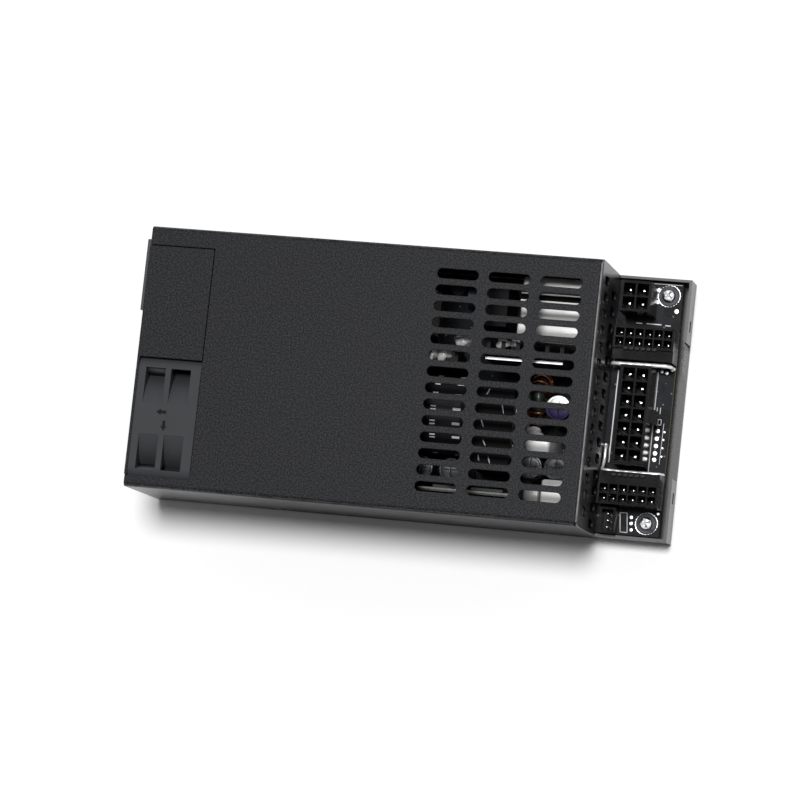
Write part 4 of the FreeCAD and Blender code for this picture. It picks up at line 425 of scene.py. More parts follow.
@dataclass(frozen=True)
class ArrowedMoulding:
    """The fan frame's plastic, with two sunken arrows on its upper side.

    The arrows' middles are in X and Y, and shade_depths is the range of depth over which openings are painted
    darker, as painted shade.
    """

    name: str
    colour: Colour
    top: float
    flow: Spot
    spin: Spot
    shade_depths: Spot = (0.1, 6.0)
    arm: float = 1.6
    width: float = 0.95

    def arrow(self, along: Value, across: Value) -> Value:
        """Mask of an arrow along one axis.

        The shaft is a bar, and the head a triangle whose half width grows back from its tip.

        Args:
            along: distance towards the tip from the arrow's middle, in millimetres.
            across: distance off the arrow's line.

        Returns:
            One on the arrow.
        """
        shaft = along.between(-self.arm, self.arm * 0.2) * (abs(across) < self.width / 2)
        back = self.arm - along
        head = along.between(self.arm * 0.1, self.arm) * (abs(across) < back * 0.72)
        return shaft.most(head)

    def material(self) -> bpy.types.Material:
        """Grained grey-black plastic, with painted shade down its openings and in its sunken arrows."""
        graph = Graph(self.name)
        x, y, z = graph.axes()
        grain = graph.noise(0.3, 2.0)
        flow = graph.noise(8.0, 3.0, (1.0, 0.4, 1.0), 0.5)
        flow_arrow = self.arrow(self.flow[0] - x, y - self.flow[1])
        spin_arrow = self.arrow(self.spin[1] - y, x - self.spin[0])
        mark = flow_arrow.most(spin_arrow) * (z > self.top - 0.05)
        base = graph.blend(flow * 0.6 + grain * 0.4, shade(self.colour, 0.85), shade(self.colour, 1.22))
        # Painted shade: the openings darken with depth below the upper side.
        base = graph.blend((self.top - z).smooth(*self.shade_depths) * 0.55, base, shade(self.colour, 0.25))
        # Painted shade: the sunken arrows are painted near black.
        base = graph.blend(mark, base, shade(self.colour, 0.08))
        rough = 0.5 + (grain - 0.5) * 0.2
        normal = graph.bump(grain * 0.16 - mark, 0.3, 0.7, graph.rounded_normal(0.25))
        return graph.surface(base, rough, normal, specular=0.08)


@dataclass(frozen=True)
class SolderMask:
    """Glossy lacquer over copper tracks on glass-fibre board."""

    name: str
    lacquer: Colour
    track: Colour
    top: float
    bottom: float
    core: Colour = (0.16, 0.13, 0.07)
    hole: Colour = (0.3, 0.27, 0.2)
    skin: float = 0.06

    def material(self) -> bpy.types.Material:
        """Copper patches, slanting and straight tracks, holes, and laminate at the cut edge."""
        graph = Graph(self.name)
        x, y, z = graph.axes()
        weave = graph.noise(0.5, 1.0)
        patches = graph.cells(7.0).smooth(0.42, 0.46)
        slanting = graph.tracks((x + y * 0.5) * 0.55, 0.22, 5.0, 0.5)
        straight = graph.tracks(y * 0.7, 0.2, 6.0, 0.52, 0.4)
        copper = patches.most(slanting).most(straight)
        holes = graph.cells(2.6).smooth(0.13, 0.1)
        base = graph.blend(copper * 0.8 + weave * 0.2, self.lacquer, self.track)
        base = graph.blend(holes * 0.6, base, self.hole)
        side = z.between(self.bottom + self.skin, self.top - self.skin)
        base = graph.blend(side * (0.55 + weave * 0.4), base, self.core)
        rough = 0.24 + weave * 0.14 + side * 0.35
        normal = graph.bump(copper * 0.8 + weave * 0.08 - holes, 0.02, 0.5)
        return graph.surface(base, rough, normal, specular=0.05)


@dataclass(frozen=True)
class Metal:
    """Bare or plated metal."""

    name: str
    colour: Colour
    roughness: float
    lay: Lay = Lay.PLATED
    tarnish: float = 0.25

    def material(self) -> bpy.types.Material:
        """Scratches along the lay, dull patches, and rolled edges."""
        graph = Graph(self.name)
        stretch, size, depth = self.lay.value
        scratch = graph.noise(size, 3.0, stretch)
        dull = graph.noise(3.2, 3.0).smooth(0.4, 0.75)
        base = graph.blend(dull * 0.7 + scratch * 0.3, self.colour, shade(self.colour, 1.0 - self.tarnish))
        rough = self.roughness + dull * 0.16 + (scratch - 0.5) * 0.2
        normal = graph.bump(scratch, depth, 0.6, graph.rounded_normal(0.08))
        return graph.surface(base, rough, normal, metallic=1.0)


@dataclass(frozen=True)
class Enamel:
    """Copper wire under clear enamel."""

    name: str
    colour: Colour

    def material(self) -> bpy.types.Material:
        """Enamel that darkens in patches, with die lines."""
        graph = Graph(self.name)
        patch = graph.noise(1.8, 3.0).smooth(0.35, 0.75)
        lines = graph.noise(0.12, 2.0, (1.0, 0.2, 1.0))
        base = graph.blend(patch * 0.7, self.colour, shade(self.colour, 0.45))
        rough = 0.22 + patch * 0.15 + (lines - 0.5) * 0.1
        normal = graph.bump(lines, 0.01, 0.5)
        return graph.surface(base, rough, normal, metallic=0.85, coat_weight=0.6, coat_roughness=0.12)


@dataclass(frozen=True)
class Sleeve:
    """Shrunk plastic sleeve over a can that lies along X, with two rows of bars round it.

    The centre is the can's axis in Y and Z. A row repeats at the spacing round the sleeve:
    one has pairs of thin bars and the other single broad ones.
    """

    name: str
    colour: Colour
    ink: Colour
    centre: Spot
    radius: float = 12.5
    pairs_at: float = 11.2
    pairs_half: float = 0.85
    bars_at: float = 18.6
    bars_half: float = 1.2
    spacing: float = 4.5

    def material(self) -> bpy.types.Material:
        """Wrinkles where it shrank, and bars spaced by the angle round the can's axis."""
        graph = Graph(self.name)
        x, y, z = graph.axes()
        wrinkle = graph.noise(1.4, 3.0, (0.35, 1.0, 1.0))
        fine = graph.noise(0.2, 1.0)
        turn = (y - self.centre[0]).angle(z - self.centre[1])
        along = (turn * (self.radius / self.spacing) + 0.35).fraction()
        pairs = along.between(0.34, 0.44).most(along.between(0.56, 0.66))
        pairs = pairs * (abs(x - self.pairs_at) < self.pairs_half)
        bars = along.between(0.4, 0.58) * (abs(x - self.bars_at) < self.bars_half)
        base = graph.blend(wrinkle, self.colour, shade(self.colour, 1.6, 0.003))
        base = graph.blend(pairs.most(bars), base, self.ink)
        rough = 0.26 + fine * 0.1 + (wrinkle - 0.5) * 0.15
        normal = graph.bump(wrinkle, 0.14, 0.6, graph.rounded_normal(0.3))
        return graph.surface(base, rough, normal, specular=0.12)


@dataclass(frozen=True)
class CutPlate:
    """Black anodised heatsink, whose sawn upper edge is bare aluminium in a band of Y."""

    name: str
    top: float
    bare: Optional[Spot] = None
    dark: Colour = (0.006, 0.006, 0.0065)
    light: Colour = (0.013, 0.013, 0.014)
    metal: Colour = (0.88, 0.88, 0.89)
    edge: float = 0.08

    def material(self) -> bpy.types.Material:
        """Fine dark anodising with saw marks, and the bare band where there is one."""
        graph = Graph(self.name)
        _, y, z = graph.axes()
        grain = graph.noise(0.3, 2.0)
        saw = graph.noise(0.2, 2.0, (1.0, 0.1, 1.0))
        base = graph.blend(grain, self.dark, self.light)
        rough = 0.42 + grain * 0.12
        normal = graph.bump(saw, 0.02, 0.5)
        if self.bare is None:
            return graph.surface(base, rough, normal, specular=0.06)
        band = (z > self.top - self.edge) * y.between(*self.bare)
        base = graph.blend(band, base, self.metal)
        return graph.surface(base, rough - band * 0.1, normal, metallic=band * 0.5, specular=0.06)


@dataclass(frozen=True)
class HalfPrint:
    """Bare can with ink over one side of it, up to an edge in Y."""

    name: str
    printed: Colour
    metal: Colour
    edge: float

    def material(self) -> bpy.types.Material:
        """Brushed aluminium, and ink where Y is below the edge."""
        graph = Graph(self.name)
        _, y, _ = graph.axes()
        brush = graph.noise(0.2, 2.0, (0.1, 1.0, 1.0))
        cloud = graph.noise(1.2, 2.0)
        ink = y < self.edge
        base = graph.blend(cloud * 0.5 + brush * 0.3, self.metal, shade(self.metal, 0.75))
        base = graph.blend(ink, base, graph.blend(cloud, self.printed, shade(self.printed, 1.8)))
        rough = 0.34 + brush * 0.15
        return graph.surface(base, rough, graph.bump(brush, 0.01, 0.5), metallic=1.0 - ink, specular=0.12)


@dataclass(frozen=True)
class Tape:
    """Polyester tape wound round a bobbin, over turns that show as ribs."""

    name: str
    colour: Colour
    pitch: float = 1.1
    lap_turns: float = 3.0
    tint: Colour = (0.86, 0.74, 0.5)

    def material(self) -> bpy.types.Material:
        """Laps every few turns of height, creases, and a warm edge to each lap."""
        graph = Graph(self.name)
        _, _, z = graph.axes()
        sag = graph.noise(6.0, 2.0)
        lap = (z / self.pitch / self.lap_turns + sag * 0.25).fraction()
        rib = ((z + sag) * (2.0 * math.pi / self.pitch)).sine() * 0.5 + 0.5
        crease = graph.noise(1.6, 4.0, (0.5, 0.5, 1.4), 0.8)
        warm = tuple(part * share for part, share in zip(self.colour, self.tint))
        base = graph.blend(lap.smooth(0.86, 0.98) * 0.7 + crease * 0.2, self.colour, warm)
        rough = 0.3 + crease * 0.25
        normal = graph.bump(rib * 0.35 + crease * 0.4 + lap * 0.25, 0.1, 0.7, graph.rounded_normal(0.5))
        return graph.surface(base, rough, normal, coat_weight=0.2)


@dataclass(frozen=True)
class Grained:
    """Sintered, dipped or cast stuff, with pits and a mottled colour."""

    name: str
    colour: Colour
    other: Colour
    roughness: float
    grain: float = 0.3
    depth: float = 0.05
    coat: float = 0.0
    metallic: float = 0.0
    edge: float = 0.2
    gloss: float = 0.4

    def material(self) -> bpy.types.Material:
        """Cells give pits, noise the mottling."""
        graph = Graph(self.name)
        pits = graph.cells(self.grain * 2.5).smooth(0.05, 0.5)
        grain = graph.noise(self.grain, 3.0)
        cloud = graph.noise(self.grain * 18.0, 3.0)
        base = graph.blend(grain * 0.5 + cloud * 0.5, self.colour, self.other)
        rough = self.roughness + (grain - 0.5) * 0.2 + (cloud - 0.5) * 0.12
        normal = graph.bump(pits * 0.6 + grain * 0.4, self.depth, 0.6, graph.rounded_normal(self.edge))
        fixed = {"metallic": self.metallic, "coat_weight": self.coat, "coat_roughness": 0.1}
        return graph.surface(base, rough, normal, specular=self.gloss, **fixed)


@dataclass(frozen=True)
class CardFinish:
    """Controller card: green lacquer, with its black chips at their own depth in Y."""

    name: str
    face: float
    top: float
    lacquer: Colour = (0.006, 0.07, 0.03)
    track: Colour = (0.03, 0.2, 0.08)
    chip: Colour = (0.012, 0.012, 0.014)
    cut: Colour = (0.02, 0.026, 0.02)
    pale: Colour = (0.72, 0.72, 0.68)
    pale_band: Spot = (-32.45, -31.95)

    def material(self) -> bpy.types.Material:
        """Green board with tracks; what stands out of its face is moulded black."""
        graph = Graph(self.name)
        x, y, z = graph.axes()
        grain = graph.noise(0.4, 2.0)
        copper = graph.tracks((x - z * 0.6) * 0.9, 0.3, 5.0, 0.48).most(graph.tracks(z * 1.1, 0.25, 7.0, 0.5))
        chip = y > self.face + 0.05
        end = z > self.top - 0.08
        base = graph.blend(copper * 0.8 + grain * 0.2, self.lacquer, self.track)
        base = graph.blend(end, base, self.cut)
        base = graph.blend(end * y.between(*self.pale_band) * 0.85, base, self.pale)
        base = graph.blend(chip, base, self.chip)
        rough = 0.24 + chip * 0.3 + grain * 0.1
        normal = graph.bump(copper * 0.5 + grain * 0.3, 0.04, 0.6, graph.rounded_normal(0.15))
        return graph.surface(base, rough, normal, coat_weight=0.2)


@dataclass(frozen=True)
class ClearSheet:
    """Thin insulating sheet, faintly yellow."""

    name: str
    colour: Colour = (0.62, 0.58, 0.44)

    def material(self) -> bpy.types.Material:
        """Scuffs and slow waves."""
        graph = Graph(self.name)
        scuff = graph.noise(0.7, 3.0, (0.3, 1.0, 1.0))
        wave = graph.noise(14.0, 2.0)
        base = graph.blend(scuff * 0.4 + wave * 0.3, self.colour, shade(self.colour, 0.8))
        return graph.surface(base, 0.32 + scuff * 0.25, graph.bump(wave + scuff * 0.1, 0.3, 0.4))


@dataclass
class Shape:
    """Vertices and faces in millimetres, before they become a mesh."""

    points: np.ndarray
    faces: list[tuple[int, ...]]

    def __add__(self, other: "Shape") -> "Shape":
        """Put two shapes into one."""
        shift = len(self.points)
        moved = [tuple(corner + shift for corner in face) for face in other.faces]
        return Shape(np.vstack([self.points, other.points]), self.faces + moved)

    def piece(
        self, name: str, material: bpy.types.Material, slot: str, smooth: float = 40.0
    ) -> bpy.types.Object:
        """Make the Blender object, which rides on the case.

        Args:
            name: piece name.
            material: its finish.
            slot: record's material slot; not used.
            smooth: edges flatter than this, in degrees, are shaded smooth.

        Returns:
            The object, with its origin at the frame's.
        """
        mesh = bpy.data.meshes.new(name)
        mesh.from_pydata((self.points * MM).tolist(), [], self.faces)
        work = bmesh.new()
        work.from_mesh(mesh)
        bmesh.ops.remove_doubles(work, verts=work.verts, dist=1e-7)
        bmesh.ops.recalc_face_normals(work, faces=work.faces)
        work.to_mesh(mesh)
        work.free()
        mesh.materials.append(material)
        mesh.shade_smooth()
        mesh.set_sharp_from_angle(angle=math.radians(smooth))
        made = added(name, mesh)
        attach(made, "case")
        LOG.info("%s: %d faces", name, len(mesh.polygons))
        return made


def grid_shape(points: np.ndarray, closed_across: bool = True, ends: bool = True) -> Shape:
    """Join a grid of points into quads, each to its neighbours in the next row and column.

    Args:
        points: rows by columns by 3.
        closed_across: join the last column to the first.
        ends: close the first and last rows with one face each.

    Returns:
        The surface.
    """
    rows, columns = points.shape[:2]
    number = np.arange(rows * columns).reshape(rows, columns)
    following = np.roll(number, -1, axis=1) if closed_across else number[:, 1:]
    left = number if closed_across else number[:, :-1]
    quads = np.stack([left[:-1], following[:-1], following[1:], left[1:]], axis=-1).reshape(-1, 4)
    faces = [tuple(face) for face in quads.tolist()]
    if ends:
        faces.append(tuple(number[0].tolist()))
        faces.append(tuple(number[-1].tolist()))
    return Shape(points.reshape(-1, 3), faces)


def joined(shapes: Sequence[Shape]) -> Shape:
    """Put several shapes into one."""
    return sum(shapes[1:], shapes[0])


def circled(middle: Spot, radius: Any, angle: np.ndarray, height: Any) -> np.ndarray:
    """Give the points (x + r cos a, y + r sin a, h), with all arrays spread to one shape."""
    across, along = middle[0] + radius * np.cos(angle), middle[1] + radius * np.sin(angle)
    return np.stack(np.broadcast_arrays(across, along, height), axis=-1)


def full_turn(steps: int) -> np.ndarray:
    """Give evenly spaced angles round a circle, in radians."""
    return np.linspace(0.0, 2.0 * np.pi, steps, endpoint=False)


def turned(profile: Sequence[Spot], centre: Point, steps: int = 32, spin: float = 0.0) -> Shape:
    """Turn a profile about an upright axis.

    The point at height h and angle a is centre + (r(h) cos a, r(h) sin a, h).

    Args:
        profile: (radius, height) pairs from foot to top.
        centre: point on the axis.
        steps: points round the axis.
        spin: angle of the first one, in degrees.

    Returns:
        The closed surface.
    """
    table = np.array(profile, float)
    points = circled((0.0, 0.0), table[:, :1], np.radians(spin) + full_turn(steps), table[:, 1:])
    return grid_shape(points + np.array(centre))


def stretched(shape: Shape, centre: Point, scale: Point, turn: float = 0.0) -> Shape:
    """Scale a shape about a point, then turn it about the upright axis.

    Args:
        shape: what is scaled.
        centre: fixed point.
        scale: three factors.
        turn: degrees about Z.

    Returns:
        The new shape.
    """
    local = (shape.points - np.array(centre)) * np.array(scale)
    cosine, sine = math.cos(math.radians(turn)), math.sin(math.radians(turn))
    rotation = np.array([[cosine, -sine, 0.0], [sine, cosine, 0.0], [0.0, 0.0, 1.0]])
    return Shape(local @ rotation.T + np.array(centre), shape.faces)


def rounded_block(centre: Point, lengths: Point, radius: float, turn: float = 0.0, steps: int = 3) -> Shape:
    """Block with rounded edges: a ball whose eight octants are moved apart.

    A point is s (L / 2 - r) + r n, where n is the ball's normal and s its signs.

    Args:
        centre: middle of the block.
        lengths: its three lengths.
        radius: edge radius.
        turn: degrees about Z.
        steps: points per quarter turn.

    Returns:
        The closed surface.
    """
    quarter = np.linspace(0.0, math.pi / 2, steps + 1)
    around = np.concatenate([quarter + side * math.pi / 2 for side in range(4)])
    signs_x = np.repeat([1.0, -1.0, -1.0, 1.0], steps + 1)
    signs_y = np.repeat([1.0, 1.0, -1.0, -1.0], steps + 1)
    up = np.concatenate([quarter - math.pi / 2, quarter])
    signs_z = np.repeat([-1.0, 1.0], steps + 1)
    normal = circled((0.0, 0.0), np.cos(up)[:, None], around, np.sin(up)[:, None])
    signs = np.stack(np.broadcast_arrays(signs_x, signs_y, signs_z[:, None]), axis=-1)
    reach = np.maximum(np.array(lengths) / 2.0 - radius, 0.0)
    shape = grid_shape(signs * reach + radius * normal, ends=False)
    corners = np.arange(4) * (steps + 1)
    top = corners + (len(up) - 1) * len(around)
    faces = shape.faces + [tuple(corners.tolist()), tuple(top.tolist())]
    return stretched(Shape(shape.points + np.array(centre), faces), centre, EVEN, turn)


def swept(path: Sequence[Point], radius: Union[float, np.ndarray], steps: int = 10) -> Shape:
    """Carry a circle along a path of points, square to its direction.

    Args:
        path: points of the centre line.
        radius: one radius, or one for each point.
        steps: points round the circle.

    Returns:
        The closed tube.
    """
    line = np.array(path, float)
    direction = np.gradient(line, axis=0)
    direction /= np.linalg.norm(direction, axis=1, keepdims=True)
    steep = np.abs(direction[:, 2:3]) > 0.9
    helper = np.where(steep, np.array([[1.0, 0.0, 0.0]]), np.array([[0.0, 0.0, 1.0]]))
    first = np.cross(direction, helper)
    first /= np.linalg.norm(first, axis=1, keepdims=True)
    second = np.cross(direction, first)
    angle = full_turn(steps)[None, :, None]
    circle = first[:, None] * np.cos(angle) + second[:, None] * np.sin(angle)
    return grid_shape(line[:, None] + np.asarray(radius, float).reshape(-1, 1, 1) * circle)


def blob(centre: Point, lengths: Point, seed: float, rough: float = 0.18, steps: int = 24) -> Shape:
    """Lump of silicone or solder: a ball that swells sideways by a few waves of its two angles.

    Level radii are multiplied by 1 + rough (sin(3a + s) cos(2b) + sin(2a - s) sin(3b)) / 2,
    and the whole is scaled to the lengths.

    Args:
        centre: middle.
        lengths: three lengths.
        seed: shifts the waves.
        rough: height of the waves.
        steps: points round it.

    Returns:
        The closed surface.
    """
    around = full_turn(steps)
    up = np.linspace(-math.pi / 2, math.pi / 2, steps // 2 + 1)[:, None]
    waves = np.sin(3 * around + seed) * np.cos(2 * up) + np.sin(2 * around - seed) * np.sin(3 * up)
    points = circled((0.0, 0.0), (1.0 + rough * waves / 2) * np.cos(up), around, np.sin(up))
    return grid_shape(points * np.array(lengths) / 2.0 + np.array(centre), ends=False)


@dataclass
class Palette:
    """Every finish of the object, by its name, which is the record's slot where it has one."""

    made: dict[str, bpy.types.Material] = field(default_factory=dict)

    def build(self) -> None:
        """Make one material for each slot, and those of pieces that are only here."""
        cover = extent("top_cover")[1]
        board = [corner[2] for corner in reversed(extent("main_board"))]
        finishes = (
            PowderCoat("case_black", (0.0010, 0.0012, 0.0018), (0.0310, 0.0318, 0.0350), *cover),
            Metal("screw_black", (0.05, 0.05, 0.055), 0.4, tarnish=0.4),
            Metal("screw_zinc", (0.8, 0.81, 0.82), 0.28),
            Moulding("fan_plastic", (0.06, 0.061, 0.064), 0.5, 0.3),
            Moulding("rotor_plastic", (0.03, 0.03, 0.032), 0.4),
            Grained("magnet", (0.05, 0.042, 0.038), (0.09, 0.075, 0.065), 0.7),
            Metal("bearing_bronze", (0.55, 0.37, 0.2), 0.3, Lay.DRAWN, 0.4),
            Metal("steel", (0.6, 0.6, 0.6), 0.3, Lay.DRAWN),
            # Painted shade: the enamelled copper is given a dark base colour, for windings that sit in shade
            # inside the case.
            Enamel("copper", (0.20, 0.062, 0.016)),
            Moulding("inlet_plastic", (0.02, 0.02, 0.021), 0.38, 0.35, 0.03),
            Metal("pin_tin", (0.86, 0.84, 0.79), 0.14, Lay.DRAWN, 0.15),
            Moulding("wire_black", (0.02, 0.02, 0.02), 0.3, 0.4, 0.02),
            SolderMask("board_black", (0.003, 0.0035, 0.0045), (0.008, 0.009, 0.012), *board),
            SolderMask("board_green", (0.008, 0.06, 0.03), (0.03, 0.16, 0.07), *board),
            Moulding("header_black", (0.0025, 0.0025, 0.0032), 0.18, 0.5, 0.006, edge=0.12, gloss=0.06),
            Moulding("header_white", (0.78, 0.76, 0.7), 0.36),
            ClearSheet("insulation"),
            Grained("ferrite", (0.003, 0.003, 0.0034), (0.010, 0.010, 0.0105), 0.6, 0.35, gloss=0.04),
            Tape("winding_tape", (0.86, 0.85, 0.8)),
            Moulding("bobbin_black", (0.008, 0.008, 0.008), 0.5, gloss=0.12),
            # Painted shade: the toroid's green paint is darkened nearly to black, for a core that sits in
            # shade.
            Grained("core_paint", (0.007, 0.018, 0.013), (0.012, 0.026, 0.018), 0.32, 0.5, 0.06, coat=0.2),
            Metal("aluminium", (0.8, 0.81, 0.82), 0.28, Lay.ROLLED_X),
            Moulding("device_black", (0.009, 0.009, 0.010), 0.5, 0.15, 0.03, gloss=0.15),
            Moulding("sleeve_black", (0.011, 0.011, 0.013), 0.3, 0.8, 0.03),
            Grained("sleeve_violet", (0.05, 0.022, 0.17), (0.08, 0.04, 0.25), 0.3, 0.6, 0.02, 0.3, 0.3),
            Grained("film_grey", (0.16, 0.16, 0.155), (0.24, 0.24, 0.23), 0.4, 0.6, 0.04, coat=0.1),
            Grained("film_white", (0.86, 0.86, 0.84), (0.93, 0.93, 0.92), 0.4, 0.7, coat=0.1),
            Moulding("key_black", (0.003, 0.003, 0.003), 0.6),
            Grained("jumper", (0.72, 0.72, 0.73), (0.88, 0.88, 0.88), 0.3, 0.4, 0.02, 0.3, 0.45),
            Metal("washer", (0.03, 0.03, 0.033), 0.45, tarnish=0.3),
            Grained("film_cream", (0.84, 0.83, 0.78), (0.9, 0.89, 0.85), 0.34, 0.7, coat=0.2),
            Grained("disc_blue", (0.003, 0.007, 0.016), (0.005, 0.011, 0.025), 0.4, 1.2, 0.15),
            Grained("fuse_white", (0.8, 0.78, 0.72), (0.86, 0.85, 0.8), 0.3, 0.5, 0.03, coat=0.3),
            Moulding("relay_black", (0.007, 0.007, 0.008), 0.45, 0.4, edge=0.4, gloss=0.05),
            Grained("ink", (0.82, 0.83, 0.84), (0.9, 0.9, 0.9), 0.5, 0.25, 0.02),
            Metal("solder", (0.9, 0.9, 0.9), 0.34, Lay.SOLDERED, 0.12),
            Grained("silicone", (0.16, 0.16, 0.16), (0.66, 0.66, 0.65), 0.3, 0.8, 0.3, coat=0.2),
            # Painted shade: the aluminium can tops are given a near-black base colour, so they stay dark
            # under the vent slots.
            Metal("can_top", (0.05, 0.051, 0.053), 0.42, Lay.SOLDERED, 0.8),
        )
        for finish in finishes:
            self.made[finish.name] = finish.material()

    def __getitem__(self, name: str) -> bpy.types.Material:
        """Give a finish by name."""
        return self.made[name]

    def dress(self) -> None:
        """Give every CAD node the finish of its slot."""
        for row in frame["record"]["subparts"]:
            paint(row["node"], self.made[row["material_slot"]])


@dataclass
class Fan:
    """Fan in the rear left corner, whose upper side shows through the cover's window."""

    colour: Colour = (0.044, 0.045, 0.049)
    flow_arrow: Spot = (-71.9, -17.0)
    spin_arrow: Spot = (-70.7, -21.2)

    def dress(self, palette: Palette) -> None:
        """Give the frame its own plastic with the two arrows, and copper to the stator."""
        top = extent("fan_frame")[1][2]
        finish = ArrowedMoulding("fan_frame_plastic", self.colour, top, self.flow_arrow, self.spin_arrow)
        paint("fan_frame", finish.material())
        paint("fan_stator", palette["copper"])


@dataclass(frozen=True)
class PinField:
    """Pins of one header: how many along X and Y, and how thick."""

    header: str
    columns: int
    rows: int
    width: float


@dataclass
class Headers:
    """Square pins with tapered tips, and a row of small domes on two headers' ledges.

    A key gives the header and the middle of its row.
    """

    fields: tuple[PinField, ...] = (
        PinField("header_4_way", 2, 2, 1.07),
        PinField("header_12_way_upper", 6, 2, 0.64),
        PinField("header_14_way", 2, 7, 1.07),
        PinField("header_12_way_lower", 6, 2, 0.64),
        PinField("header_3_way", 1, 3, 0.5),
    )
    taper: float = 0.55
    key_length: float = 9.0
    key_domes: int = 6
    key_drift: float = 0.02
    keys: tuple[tuple[str, float, float], ...] = (
        ("header_12_way_upper", 70.9, 17.1),
        ("header_12_way_lower", 71.2, -22.05),
    )

    def pin(self, x: float, y: float, foot: float, tip: float, width: float) -> Shape:
        """One pin: a square profile that narrows to its flat tip.

        Args:
            x: middle.
            y: middle.
            foot: lowest height.
            tip: highest height.
            width: side of the square.

        Returns:
            The closed surface.
        """
        half = width / math.sqrt(2.0)
        shank = [(0.0, foot), (half, foot), (half, tip - width * 1.1), (half * 0.92, tip - width * 0.7)]
        end = [(half * self.taper, tip - width * 0.06), (half * self.taper * 0.85, tip), (0.0, tip)]
        return turned(shank + end, (x, y, 0.0), 4, 45.0)

    def key(self, header: str, x: float, y: float) -> Shape:
        """Row of small domes along a header's ledge, which drifts a little sideways.

        Args:
            header: node that carries them.
            x: middle of the row.
            y: middle of the row.

        Returns:
            The closed surfaces.
        """
        top = extent(header)[1][2]
        profile = [(0.0, -0.03), (0.62, -0.03), (0.6, 0.05), (0.45, 0.1), (0.0, 0.12)]
        dome = stretched(turned(profile, ORIGIN, 20), ORIGIN, (1.25, 0.8, 1.0))
        places = x + np.linspace(-self.key_length / 2, self.key_length / 2, self.key_domes)
        moves = [(place, y + self.key_drift * number, top) for number, place in enumerate(places)]
        return joined([Shape(dome.points + np.array(move), dome.faces) for move in moves])

    def build(self, palette: Palette) -> None:
        """Put the pins where the CAD ones stand, and the domes on their ledges."""
        for row in self.fields:
            node = row.header + "_pins"
            low, high = extent(node)
            half = row.width / 2
            xs = np.linspace(low[0] + half, high[0] - half, row.columns)
            ys = np.linspace(low[1] + half, high[1] - half, row.rows)
            pins = [self.pin(x, y, low[2], high[2], row.width) for x in xs for y in ys]
            piece = joined(pins).piece(node + "_tapered", palette["pin_tin"], "pin_tin", 20.0)
            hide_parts(node)
        keys = joined([self.key(*key) for key in self.keys])
        keys.piece("header_keys", palette["key_black"], "header_black")


